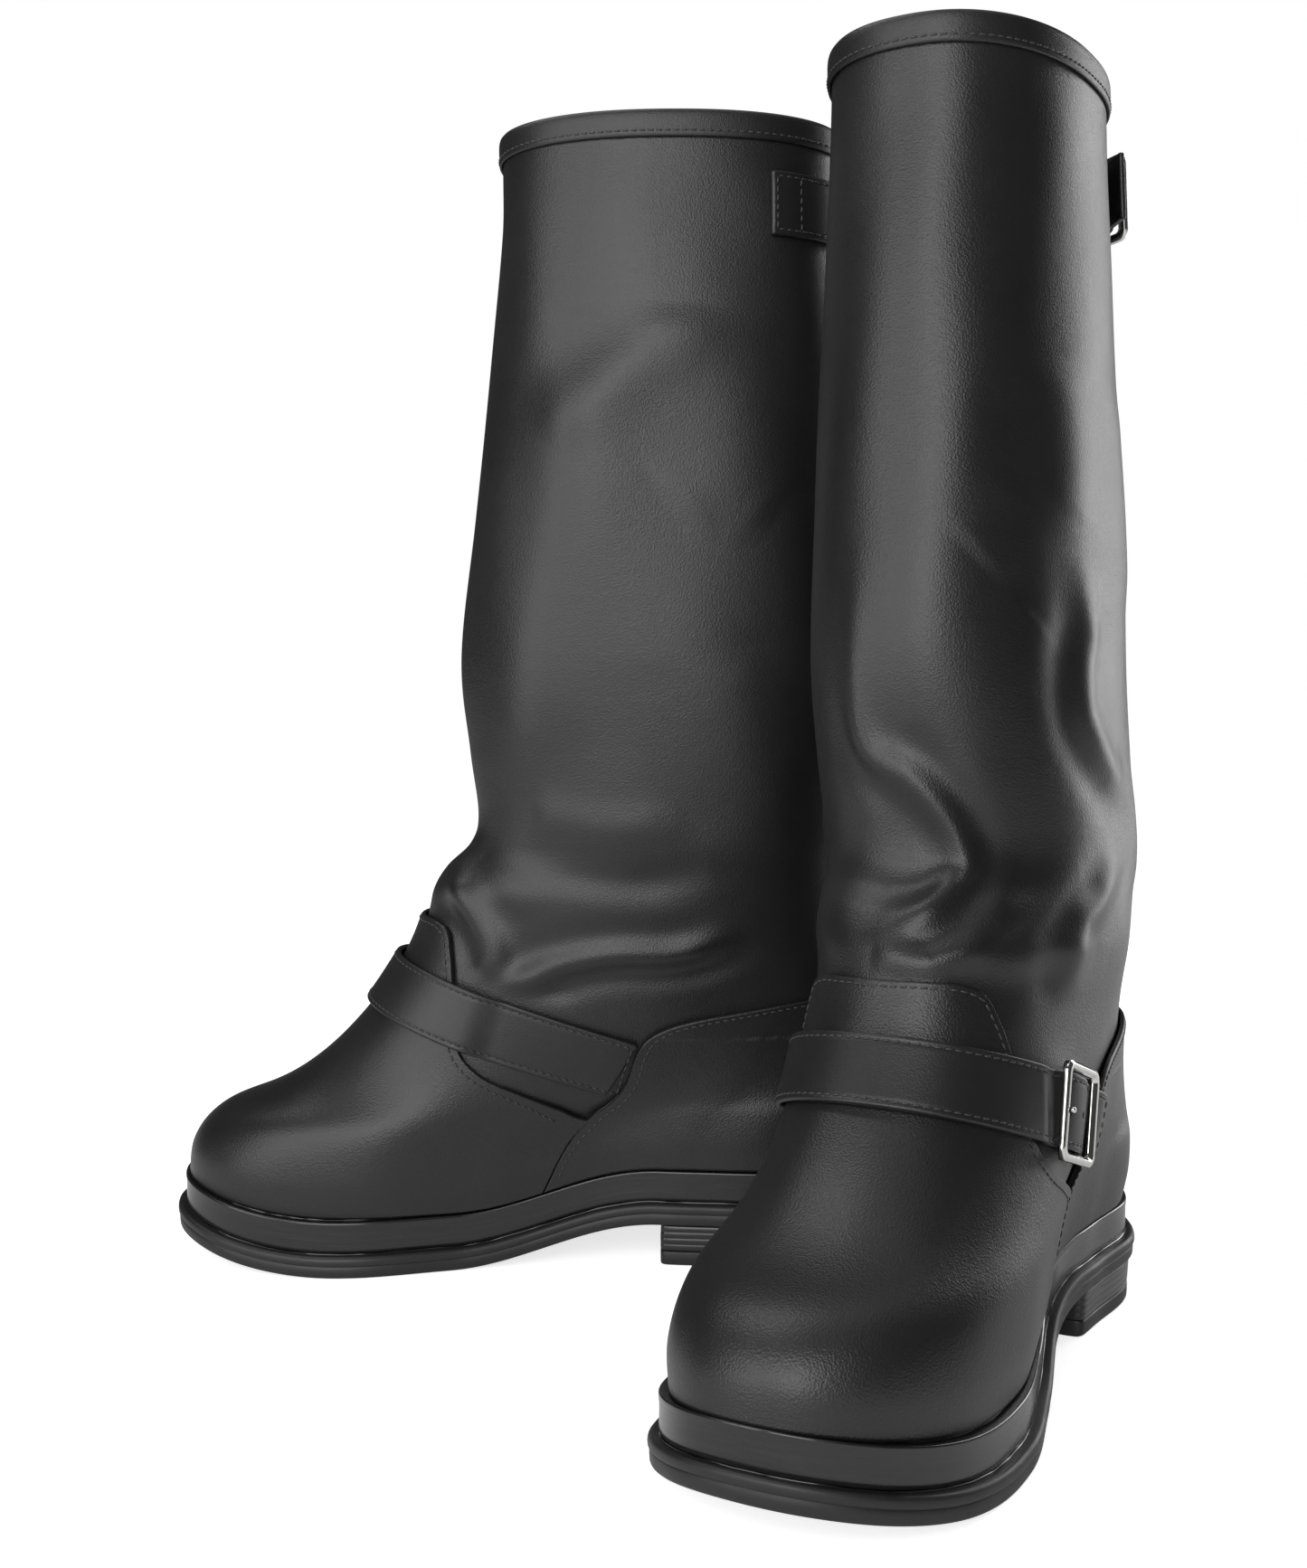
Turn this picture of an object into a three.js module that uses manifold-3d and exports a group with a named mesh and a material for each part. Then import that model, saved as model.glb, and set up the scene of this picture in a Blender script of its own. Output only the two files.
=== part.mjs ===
// A pair of pull-on riding boots: two mirrored assemblies of sole, upper, linings, straps and buckles.
// Millimetres, +Z up. In a boot's own frame x runs from the heel to the toe, and y points to the
// wearer's outer side.
import * as THREE from "three";
import Module from "manifold-3d";

const wasm = await Module();
wasm.setup();

// ---------------------------------------------------------------- driving dimensions
const sole = {
  length: 282, // outsole rim, heel to toe
  width: 104, // outsole rim across the ball
  outsole: 8.5, // thickness
  midsole: 12,
  heelRise: 16, // underside of the outsole above the floor at the heel
  toeSpring: 12, // underside of the outsole above the floor at the toe tip
  flatFrom: 168, // the ball rests on the floor between these two
  flatTo: 210,
  heelLength: 87,
  topLift: 5.6, // rubber tread of the heel
  midsoleInset: 3.4, // midsole edge inside the outsole rim
};
const strapWidth = 23.5;
const strapThickness = 2.2;
const leather = 1.7; // outer leathers
const gap = 0.3; // between touching pieces
const overlay = 1; // room under the vamp and the counter
const liningRoom = 1.2; // between the outer leathers and the lining
const liningThickness = 1;
const shaftHeight = 435; // floor to the top edge
const bindingHeight = 9.5;
const lean = -12; // sideways lean of the shaft's top, towards the inner side
const frame = { length: 31, bar: 3.6, thickness: 2.4, pin: 1.0 }; // buckle frame and its centre bar
const boots = {
  left: { side: 1, x: 162.2, y: 695.7, turn: -119.7 },
  right: { side: -1, x: 90.2, y: 714.3, turn: -181 },
};

// ---------------------------------------------------------------- materials
const paint = (color, roughness, metalness = 0) =>
  new THREE.MeshStandardMaterial({ color, roughness, metalness });
const materials = {
  leather: paint(0x1b1b1c, 0.45),
  trim: paint(0x202021, 0.4),
  lining: paint(0x5a4a3c, 0.8),
  board: paint(0x8a7658, 0.9),
  cork: paint(0x9a7145, 0.95),
  rubber: paint(0x141414, 0.6),
  glossRubber: paint(0x101010, 0.3),
  stack: paint(0x232120, 0.5),
  steel: paint(0xc9cbd0, 0.15, 1),
  shank: paint(0x7d8288, 0.4, 1),
  felt: paint(0x3c3a38, 0.95),
};

// ---------------------------------------------------------------- small helpers
const V = (x, y, z) => new THREE.Vector3(x, y, z);
const lerp = (a, b, t) => a + (b - a) * t;
const clamp01 = (t) => Math.min(1, Math.max(0, t));
const smooth = (a, b, x) => {
  const t = clamp01((x - a) / (b - a));
  return t * t * (3 - 2 * t);
};
const rad = THREE.MathUtils.degToRad;

// A closed mesh from corner points and faces of three or four corners.
function solid(points, faces) {
  const index = faces.flatMap((f) => (f.length === 3 ? f : [f[0], f[1], f[2], f[0], f[2], f[3]]));
  const geometry = new THREE.BufferGeometry().setFromPoints(points);
  geometry.setIndex(index);
  geometry.computeVertexNormals();
  return volumeOf(geometry) < 0 ? flipped(geometry) : geometry;
}

function volumeOf(geometry) {
  const p = geometry.getAttribute("position");
  const [a, b, c] = [V(), V(), V()];
  let sum = 0;
  for (let i = 0; i < geometry.index.count; i += 3) {
    a.fromBufferAttribute(p, geometry.index.getX(i));
    b.fromBufferAttribute(p, geometry.index.getX(i + 1));
    c.fromBufferAttribute(p, geometry.index.getX(i + 2));
    sum += a.dot(b.cross(c));
  }
  return sum / 6;
}

function flipped(geometry) {
  const i = geometry.index.array;
  for (let k = 0; k < i.length; k += 3) [i[k + 1], i[k + 2]] = [i[k + 2], i[k + 1]];
  geometry.computeVertexNormals();
  return geometry;
}

// Rings of equal length stacked into one body; the ends are closed by rungs between point i and point n - i.
function stack(rings, firstPair = 1) {
  const n = rings[0].length;
  const points = rings.flat();
  const faces = [];
  for (let r = 0; r + 1 < rings.length; r++) {
    for (let i = 0; i < n; i++) {
      const j = (i + 1) % n;
      faces.push([r * n + i, r * n + j, (r + 1) * n + j, (r + 1) * n + i]);
    }
  }
  const last = (rings.length - 1) * n;
  const rung = (k) => (firstPair ? [k, (n - k) % n] : [k, n - 1 - k]);
  const rungs = firstPair ? n / 2 : n / 2 - 1;
  for (let k = 0; k < rungs; k++) {
    const [a, b] = rung(k);
    const [c, d] = rung(k + 1);
    const face = [...new Set([a, b, d, c])];
    faces.push(face);
    faces.push([...face].reverse().map((v) => v + last));
  }
  return solid(points, faces);
}

// A sheet of thickness: at(u, v, side) gives a point of its inner (0) or outer (1) face.
// It may close on itself in v.
function sheet(nu, nv, at, wraps = false) {
  const cols = wraps ? nv : nv + 1;
  const points = [];
  for (const side of [0, 1]) {
    for (let i = 0; i <= nu; i++) for (let j = 0; j < cols; j++) points.push(at(i / nu, j / nv, side));
  }
  const id = (i, j, side) => side * (nu + 1) * cols + i * cols + (j % cols);
  const faces = [];
  for (let i = 0; i < nu; i++) {
    for (let j = 0; j < nv; j++) {
      faces.push([id(i, j, 1), id(i, j + 1, 1), id(i + 1, j + 1, 1), id(i + 1, j, 1)]);
      faces.push([id(i, j, 0), id(i + 1, j, 0), id(i + 1, j + 1, 0), id(i, j + 1, 0)]);
    }
  }
  for (let j = 0; j < nv; j++) {
    faces.push([id(0, j, 0), id(0, j + 1, 0), id(0, j + 1, 1), id(0, j, 1)]);
    faces.push([id(nu, j, 1), id(nu, j + 1, 1), id(nu, j + 1, 0), id(nu, j, 0)]);
  }
  for (let i = 0; i < nu && !wraps; i++) {
    faces.push([id(i, 0, 0), id(i, 0, 1), id(i + 1, 0, 1), id(i + 1, 0, 0)]);
    faces.push([id(i, nv, 1), id(i, nv, 0), id(i + 1, nv, 0), id(i + 1, nv, 1)]);
  }
  return solid(points, faces);
}

// Cross-sections of equal length joined one after another: closed into a loop, or capped at both ends.
function loft(sections, closed) {
  const n = sections[0].length;
  const m = sections.length;
  const points = sections.flat();
  const faces = [];
  for (let k = 0; k < (closed ? m : m - 1); k++) {
    const next = (k + 1) % m;
    for (let i = 0; i < n; i++) {
      const j = (i + 1) % n;
      faces.push([k * n + i, k * n + j, next * n + j, next * n + i]);
    }
  }
  if (!closed) {
    for (let i = 1; i + 1 < n; i++) {
      faces.push([0, i + 1, i]);
      faces.push([(m - 1) * n, (m - 1) * n + i, (m - 1) * n + i + 1]);
    }
  }
  return solid(points, faces);
}

// ---------------------------------------------------------------- booleans
function toManifold(geometry) {
  const mesh = new wasm.Mesh({
    numProp: 3,
    vertProperties: new Float32Array(geometry.getAttribute("position").array),
    triVerts: new Uint32Array(geometry.index.array),
  });
  return new wasm.Manifold(mesh);
}

function fromManifold(body) {
  const mesh = body.getMesh();
  const geometry = new THREE.BufferGeometry();
  geometry.setAttribute("position", new THREE.BufferAttribute(new Float32Array(mesh.vertProperties), 3));
  geometry.setIndex(new THREE.BufferAttribute(new Uint32Array(mesh.triVerts), 1));
  geometry.computeVertexNormals();
  return geometry;
}

const joined = (...list) => fromManifold(wasm.Manifold.union(list.map(toManifold)));
const cut = (body, ...tools) =>
  fromManifold(tools.reduce((b, t) => b.subtract(toManifold(t)), toManifold(body)));

// ---------------------------------------------------------------- sole outline and levels
const outlineShape = [
  [1, -0.03], [0.99, 0.29], [0.943, 0.65], [0.851, 0.93], [0.709, 1], [0.567, 0.85], [0.408, 0.66],
  [0.266, 0.69], [0.124, 0.71], [0.028, 0.42], [0, 0], [0.028, -0.42], [0.124, -0.71], [0.266, -0.69],
  [0.408, -0.62], [0.567, -0.77], [0.727, -1], [0.851, -0.94], [0.929, -0.75], [0.982, -0.44],
];
const outline = new THREE.CatmullRomCurve3(
  outlineShape.map(([x, y]) => V(x * sole.length, (y * sole.width) / 2, 0)),
  true,
  "centripetal",
);
outline.arcLengthDivisions = 800;

// A point of the outline at a turn of 0 (toe) to 1, moved inwards.
function rim(turn, inset = 0) {
  const t = ((turn % 1) + 1) % 1;
  const p = outline.getPointAt(t);
  const d = outline.getTangentAt(t);
  return V(p.x - d.y * inset, p.y + d.x * inset, 0);
}

const underside = (x) => {
  if (x < sole.flatFrom) {
    return sole.heelRise * smooth(0, 1, (sole.flatFrom - x) / (sole.flatFrom - sole.heelLength));
  }
  const past = Math.max(0, x - sole.flatTo) / (sole.length - sole.flatTo);
  return sole.toeSpring * past * past;
};
const platform = (x) => underside(x) + sole.outsole + gap + sole.midsole;

function soleRing(count, inset, level) {
  return Array.from({ length: count }, (_, i) => {
    const p = rim(i / count, inset);
    return V(p.x, p.y, level(p.x));
  });
}

// A longer sole takes more columns, so that flat facets still follow its curve.
const edgeColumns = 4 * Math.round(sole.length / 25.6);
const innerColumns = 4 * Math.round(sole.length / 35.2);

function soleLayer(count, levels) {
  return stack(levels.map(([inset, level]) => soleRing(count, inset, level)));
}

// Part of the outline behind a straight cut across the sole.
function heelRing(count, inset, level, breast) {
  const outer = rim(0.5, inset);
  const start = findTurn(breast, inset, 0.25, 0.5);
  const end = findTurn(breast, inset, 0.75, 0.5);
  return Array.from({ length: count }, (_, i) => {
    const p = rim(lerp(start, end, i / (count - 1)), inset);
    return V(Math.max(p.x, outer.x - 1), p.y, level(p.x));
  });
}

function findTurn(x, inset, far, near) {
  let [a, b] = [far, near];
  for (let k = 0; k < 30; k++) {
    const mid = (a + b) / 2;
    if (rim(mid, inset).x > x) a = mid;
    else b = mid;
  }
  return (a + b) / 2;
}

// ---------------------------------------------------------------- the upper's outer face
const drawn = { length: 282, width: 104, height: 435 }; // the boot that the slices are drawn for
const legFrom = 175; // a taller shaft stretches above this height
// Level slices from the sole's edge to the top edge: height, front x, back x, half width, lean share,
// how far the outline has turned from foot shape to leg shape, how far it still follows the sole's curve.
const drawnSlices = [
  [39.3, 275, 8, 43.5, 0, 0, 1],
  [50, 273.5, 4.5, 46, 0, 0.05, 0.85],
  [58.6, 267.5, 3, 46.3, 0, 0.1, 0.6],
  [62.9, 257.5, 2.8, 45.6, 0, 0.18, 0.4],
  [65, 245, 3, 44.6, 0, 0.28, 0.25],
  [72, 229, 3.6, 43.2, 0, 0.45, 0.12],
  [82, 214.5, 5, 42.4, 0.02, 0.6, 0],
  [97, 201, 7, 42.4, 0.06, 0.75, 0],
  [117, 188, 9, 43.2, 0.13, 0.9, 0],
  [133, 181, 10.5, 44.5, 0.18, 1, 0],
  [145, 178, 11, 46, 0.24, 1, 0],
  [154, 172.5, 11, 46.6, 0.28, 1, 0],
  [163.5, 163, 11, 47, 0.35, 1, 0],
  [175, 160, 10.6, 47.3, 0.42, 1, 0],
  [200, 162.8, 9.6, 48, 0.55, 1, 0],
  [236, 165.5, 9, 48, 0.72, 1, 0],
  [290, 160, 10.5, 47, 0.82, 1, 0],
  [350, 153, 14, 44.8, 0.92, 1, 0],
  [400, 149, 17, 42.8, 0.98, 1, 0],
  [435, 148.3, 18.4, 42, 1, 1, 0],
];
// The same slices for this boot: the foot takes the sole's length and width, the leg the shaft's height.
const slices = drawnSlices.map(([z, front, back, half, share, leg, follow]) => {
  const foot = 1 - leg;
  const longer = (sole.length - drawn.length) * foot;
  const wider = ((sole.width - drawn.width) / 2) * foot;
  const above = Math.max(0, z - legFrom);
  const taller = (above * (shaftHeight - drawn.height)) / (drawn.height - legFrom);
  return [z + taller, front + longer, back, half + wider, share, leg, follow];
});
const lastSlice = slices.length - 1;
// Between the midsole and the upper's lower edge: a thicker upper reaches further out over the toe's rise.
const featherRoom = 0.29 + 0.3 * leather;

function sliceAt(s) {
  const k = Math.min(lastSlice - 1, Math.max(0, Math.floor(s)));
  const t = s - k;
  const row = (i) => slices[Math.min(lastSlice, Math.max(0, i))];
  const [a, b, c, d] = [row(k - 1), row(k), row(k + 1), row(k + 2)];
  return b.map((_, i) => {
    const q = 2 * b[i] + (c[i] - a[i]) * t + (2 * a[i] - 5 * b[i] + 4 * c[i] - d[i]) * t * t;
    return 0.5 * (q + (3 * b[i] - a[i] - 3 * c[i] + d[i]) * t * t * t);
  });
}

// The slice whose height is z.
function sliceOf(z) {
  let [a, b] = [0, lastSlice];
  for (let k = 0; k < 40; k++) {
    const mid = (a + b) / 2;
    if (sliceAt(mid)[0] < z) a = mid;
    else b = mid;
  }
  return (a + b) / 2;
}

const power = (v, e) => Math.sign(v) * Math.abs(v) ** e;

function face(s, theta) {
  const [z, front, back, half, share, leg, follow] = sliceAt(s);
  const foot = rim(theta / (2 * Math.PI));
  const fullness = 2 / 2.25;
  const u = lerp((2 * foot.x) / sole.length - 1, power(Math.cos(theta), fullness), leg);
  const v = lerp((2 * foot.y) / sole.width, power(Math.sin(theta), fullness), leg);
  const x = (front + back) / 2 + ((front - back) / 2) * u;
  const top = slices[0][0];
  return V(x, lean * share + half * v, z - (top - platform(x) - featherRoom) * follow);
}

function normalAt(s, theta) {
  const ds = 0.02;
  const dt = 0.01;
  const s0 = Math.min(lastSlice - ds, Math.max(ds, s));
  const up = face(s0 + ds, theta).sub(face(s0 - ds, theta));
  const round = face(s0, theta + dt).sub(face(s0, theta - dt));
  const n = round.cross(up);
  n.z *= smooth(0, 1.2, s);
  return n.normalize();
}

const off = (s, theta, distance) => face(s, theta).addScaledVector(normalAt(s, theta), distance);

// ---------------------------------------------------------------- seams on the upper
// Rear edge of the vamp from the middle of its tongue tab to the sole: degrees round the slice, height.
const vampEdge = [
  [0, 134], [14, 134], [27, 133], [34, 130], [39, 122], [45, 110],
  [51, 97], [57, 85], [66, 77], [78, 71], [97, 61],
];
// Front and top edge of the heel counter from the sole to the middle of the back.
const counterEdge = [
  [93, 0], [96, 50], [101, 61], [107, 77], [113, 87], [122, 94],
  [134, 99], [150, 103], [166, 105], [180, 106],
];

function along(table, t) {
  const k = Math.min(table.length - 2, Math.floor(t * (table.length - 1)));
  const f = t * (table.length - 1) - k;
  return [lerp(table[k][0], table[k + 1][0], f), lerp(table[k][1], table[k + 1][1], f)];
}

// Height of the vamp's or counter's edge at an angle, 0 where the table doesn't reach.
function edgeHeight(table, degrees) {
  const d = Math.abs(degrees);
  for (let k = 0; k + 1 < table.length; k++) {
    const [[a, za], [b, zb]] = [table[k], table[k + 1]];
    if (d >= a && d <= b) return lerp(za, zb, (d - a) / (b - a));
  }
  return 0;
}

// The shaft's lower edge lies this far under the vamp's and the counter's edges.
const lap = 9;
function shaftFoot(theta) {
  const turn = THREE.MathUtils.radToDeg(Math.atan2(Math.sin(theta), Math.cos(theta)));
  const z = Math.abs(turn) < 97 ? edgeHeight(vampEdge, turn) : edgeHeight(counterEdge, turn);
  return Math.max(52, z - lap);
}

const upperCols = 4 * Math.round(sole.length / 40);
const shaftRows = [9, 10, 11, 12, 13, 14, 15, 16, 17.4]; // slices shared by the shaft and its lining
const liningRows = [0, 1.5, 3, 4.2, 5.4, 6.6, 7.8];
const liningInner = -leather - liningRoom - liningThickness;

function upperPieces() {
  const topSlice = sliceOf(shaftHeight - 0.6);
  const low = [0, 0.2, 0.4, 0.6, 0.8];
  const shaft = sheet(
    low.length + shaftRows.length,
    upperCols,
    (u, v, side) => {
      const theta = v * 2 * Math.PI;
      const k = Math.round(u * (low.length + shaftRows.length));
      const foot = low.map((t) => lerp(sliceOf(shaftFoot(theta)), shaftRows[0], t));
      const rows = [...foot, ...shaftRows, topSlice];
      return off(rows[k], theta, side ? 0 : -leather);
    },
    true,
  );
  const rows = [...liningRows, ...shaftRows, topSlice];
  const lining = sheet(
    rows.length - 1,
    upperCols,
    (u, v, side) => {
      const row = rows[Math.round(u * (rows.length - 1))];
      return off(row, v * 2 * Math.PI, liningInner + side * liningThickness);
    },
    true,
  );
  const vamp = sheet(8, 24, (u, v, side) => {
    const [deg, z] = along(vampEdge, Math.abs(2 * v - 1));
    const sign = v < 0.5 ? -1 : 1;
    const low = 91 * Math.abs(2 * v - 1);
    const s = lerp(0, sliceOf(z), u);
    return off(s, rad(sign * lerp(low, deg, u)), side ? overlay + leather : overlay);
  });
  const counter = sheet(4, 16, (u, v, side) => {
    const t = 1 - Math.abs(2 * v - 1);
    const sign = v < 0.5 ? 1 : -1;
    const deg = lerp(93.5, 180, t);
    const [edgeDeg, z] = along(counterEdge, lerp(0.12, 1, t));
    const s = lerp(0, sliceOf(Math.max(z, 40)), u);
    const angle = lerp(deg, Math.max(edgeDeg, 98.5), u);
    return off(s, rad(sign * angle), side ? overlay + leather : overlay);
  });
  return { shaft, lining, vamp, counter };
}

// Pieces between the outer leather and the lining, up to an edge given as height.
function backing(nu, nv, fromDeg, toDeg, topOf, thickness) {
  return sheet(nu, nv, (u, v, side) => {
    const deg = lerp(fromDeg, toDeg, v);
    const s = lerp(0, sliceOf(topOf(deg)), u);
    return off(s, rad(deg), side ? -0.6 : -0.6 - thickness);
  });
}

function binding() {
  const low = sliceOf(shaftHeight - bindingHeight);
  const edge = sliceOf(shaftHeight - 0.6);
  const inner = liningInner - gap;
  const sections = Array.from({ length: upperCols }, (_, i) => {
    const theta = (i / upperCols) * 2 * Math.PI;
    const at = (s, d, rise = 0) => off(s, theta, d).add(V(0, 0, rise));
    return [
      at(low, 2 * gap),
      at(low, gap + 1.2),
      at(edge, gap + 1.2, 0.6),
      at(edge, -1.5, 1.5),
      at(edge, inner - 0.9, 0.6),
      at(low, inner - 0.9),
      at(low, inner),
      at(edge, inner, 0.3),
      at(edge, 2 * gap, 0.3),
    ];
  });
  return loft(sections, true);
}

// ---------------------------------------------------------------- straps
// A track on the upper: samples of centre, normal, direction and crossways direction at a distance.
function track(height, fromDeg, toDeg) {
  const count = 160;
  const samples = [];
  for (let i = 0; i <= count; i++) {
    const theta = rad(lerp(fromDeg, toDeg, i / count));
    let [a, b] = [1.5, lastSlice];
    for (let k = 0; k < 36; k++) {
      const mid = (a + b) / 2;
      const p = face(mid, theta);
      if (p.z < height(p.x)) a = mid;
      else b = mid;
    }
    samples.push({ s: (a + b) / 2, theta, p: face((a + b) / 2, theta), at: 0 });
  }
  for (let i = 1; i <= count; i++) {
    samples[i].at = samples[i - 1].at + samples[i].p.distanceTo(samples[i - 1].p);
  }
  return samples;
}

function station(samples, distance) {
  const d = Math.min(samples.at(-1).at - 1e-3, Math.max(0, distance));
  const k = Math.max(1, samples.findIndex((q) => q.at > d));
  const [a, b] = [samples[k - 1], samples[k]];
  const t = (d - a.at) / (b.at - a.at);
  const s = lerp(a.s, b.s, t);
  const theta = lerp(a.theta, b.theta, t);
  const wide = [samples[Math.max(0, k - 6)].p, samples[Math.min(samples.length - 1, k + 5)].p];
  const n = normalAt(s, theta);
  const direction = wide[1].clone().sub(wide[0]);
  direction.addScaledVector(n, -direction.dot(n)).normalize();
  return { s, theta, p: face(s, theta), n, direction, across: n.clone().cross(direction) };
}

// The point of the upper's face a distance crossways of a station, lifted off it.
function crossways(st, width, lift) {
  const target = st.p.clone().addScaledVector(st.across, width);
  let { s, theta } = st;
  for (let k = 0; k < 3; k++) {
    const p = face(s, theta);
    const ds = face(s + 0.02, theta).sub(p).divideScalar(0.02);
    const dt = face(s, theta + 0.01).sub(p).divideScalar(0.01);
    const r = target.clone().sub(p);
    const [aa, ab, bb, ar, br] = [ds.dot(ds), ds.dot(dt), dt.dot(dt), ds.dot(r), dt.dot(r)];
    const det = aa * bb - ab * ab;
    s += (ar * bb - br * ab) / det;
    theta += (br * aa - ar * ab) / det;
  }
  return off(s, theta, lift);
}

const acrossShares = [-1, 0, 1];

// A strap between two distances: lift(distance) is its underside's height over the upper.
function ribbon(samples, from, to, pieces, lift, width = strapWidth, thickness = strapThickness) {
  const sections = [];
  for (let i = 0; i <= pieces; i++) {
    const d = lerp(from, to, i / pieces);
    const st = station(samples, d);
    const low = acrossShares.map((w) => crossways(st, (w * width) / 2, lift(d)));
    const high = acrossShares.map((w) => crossways(st, (w * width) / 2, lift(d) + thickness));
    sections.push([...low, ...high.reverse()]);
  }
  return loft(sections, false);
}

// ---------------------------------------------------------------- buckle
// In the buckle's own frame x runs along the strap and z outwards.
const pinHeight = 2.85;
const barBottom = 5.75;
const barTop = barBottom + frame.thickness;
// Underside of the strap over the buckle's middle: it passes under both end bars and over the centre pin.
const archOf = (d) => Math.max(1.9, 5.25 - 0.0192 * d * d);
const prongHole = -8.9;
const holePitch = 11.2;

function buckleFrame() {
  const inner = V(frame.length / 2 - frame.bar, strapWidth / 2 + 0.7, 0);
  const outer = V(frame.length / 2, inner.y + 3, 0);
  const corner = (half, r, k) => {
    const quarter = Math.floor(k / 4);
    const a = ((k % 4) / 3) * (Math.PI / 2) + (quarter * Math.PI) / 2;
    const sx = [1, -1, -1, 1][quarter];
    const sy = [1, 1, -1, -1][quarter];
    return V(sx * (half.x - r) + r * Math.cos(a), sy * (half.y - r) + r * Math.sin(a), 0);
  };
  const sections = Array.from({ length: 16 }, (_, k) => {
    const [i, o] = [corner(inner, 1.8, k), corner(outer, 4, k)];
    const mix = (t, z) => V(lerp(i.x, o.x, t), lerp(i.y, o.y, t), z);
    return [
      mix(0, barBottom),
      mix(0, barTop - 1),
      mix(0.3, barTop),
      mix(0.72, barTop),
      mix(1, barTop - 0.9),
      mix(1, barBottom),
    ];
  });
  const ring = loft(sections, true);
  const pin = new THREE.CylinderGeometry(frame.pin, frame.pin, 2 * inner.y + 1.6, 10);
  pin.translate(0, 0, pinHeight);
  const lug = (sign) => {
    const box = new THREE.BoxGeometry(3.2, 2, barBottom - pinHeight + 2.2);
    box.translate(0, sign * (inner.y + 1.3), (barBottom + pinHeight) / 2);
    return box;
  };
  return joined(...[ring, pin, lug(1), lug(-1)].map(welded));
}

// Same points merged, so that the shape is one closed surface.
function welded(geometry) {
  const p = geometry.getAttribute("position");
  const seen = new Map();
  const points = [];
  const index = [];
  const source = geometry.index ? geometry.index.array : Array.from({ length: p.count }, (_, i) => i);
  for (const i of source) {
    const key = [p.getX(i), p.getY(i), p.getZ(i)].map((c) => Math.round(c * 1e4)).join();
    if (!seen.has(key)) {
      seen.set(key, points.length);
      points.push(V(p.getX(i), p.getY(i), p.getZ(i)));
    }
    index.push(seen.get(key));
  }
  const faces = [];
  for (let i = 0; i < index.length; i += 3) {
    const f = index.slice(i, i + 3);
    if (new Set(f).size === 3) faces.push(f);
  }
  return solid(points, faces);
}

function prong() {
  const path = new THREE.CatmullRomCurve3([
    V(-1.55, 0, pinHeight - 0.3),
    V(-4.5, 0, 1.75),
    V(-7, 0, 2),
    V(-8.4, 0, 3.3),
    V(-9.1, 0, barTop - 2.4),
    V(-10.2, 0, barTop - 0.4),
    V(-12, 0, barTop + 0.75),
    V(-14, 0, barTop + 1),
  ]);
  const sections = [];
  const steps = 10;
  const sides = 6;
  for (let k = 0; k <= steps; k++) {
    const p = path.getPointAt(k / steps);
    const t = path.getTangentAt(k / steps);
    const up = V(-t.z, 0, t.x);
    const r = k === steps ? 0.45 : 0.75;
    const ring = [];
    for (let i = 0; i < sides; i++) {
      const a = (i / sides) * 2 * Math.PI;
      ring.push(p.clone().addScaledVector(up, r * Math.cos(a)).add(V(0, r * Math.sin(a), 0)));
    }
    sections.push(ring);
  }
  const eye = Array.from({ length: 10 }, (_, k) => {
    const a = (k / 10) * 2 * Math.PI;
    const at = (r, y) => V(r * Math.cos(a), y, pinHeight + r * Math.sin(a));
    return [at(1.25, -1.3), at(1.9, -1.3), at(1.9, 1.3), at(1.25, 1.3)];
  });
  return joined(loft(sections, false), loft(eye, true));
}

// The short piece that holds the pin: a leather hook round it, then one ply along the upper.
function hookProfile() {
  const arc = (r, from, to, n) =>
    Array.from({ length: n + 1 }, (_, k) => {
      const a = rad(lerp(from, to, k / n));
      return [r * Math.cos(a), pinHeight + r * Math.sin(a)];
    });
  return [arc(2.05, 270, 20, 8), arc(1.25, 20, 270, 8)];
}

// ---------------------------------------------------------------- one boot
function boot(name, side) {
  const group = new THREE.Group();
  const add = (piece, geometry, material) => {
    const mesh = new THREE.Mesh(geometry, materials[material]);
    mesh.name = name + "_" + piece;
    group.add(mesh);
  };
  addSole(add);
  addUpper(add);
  addStraps(add);
  group.scale.set(1, side, 1);
  group.rotation.z = rad(boots[name].turn);
  group.position.set(boots[name].x, boots[name].y, 0);
  return group;
}

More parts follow.
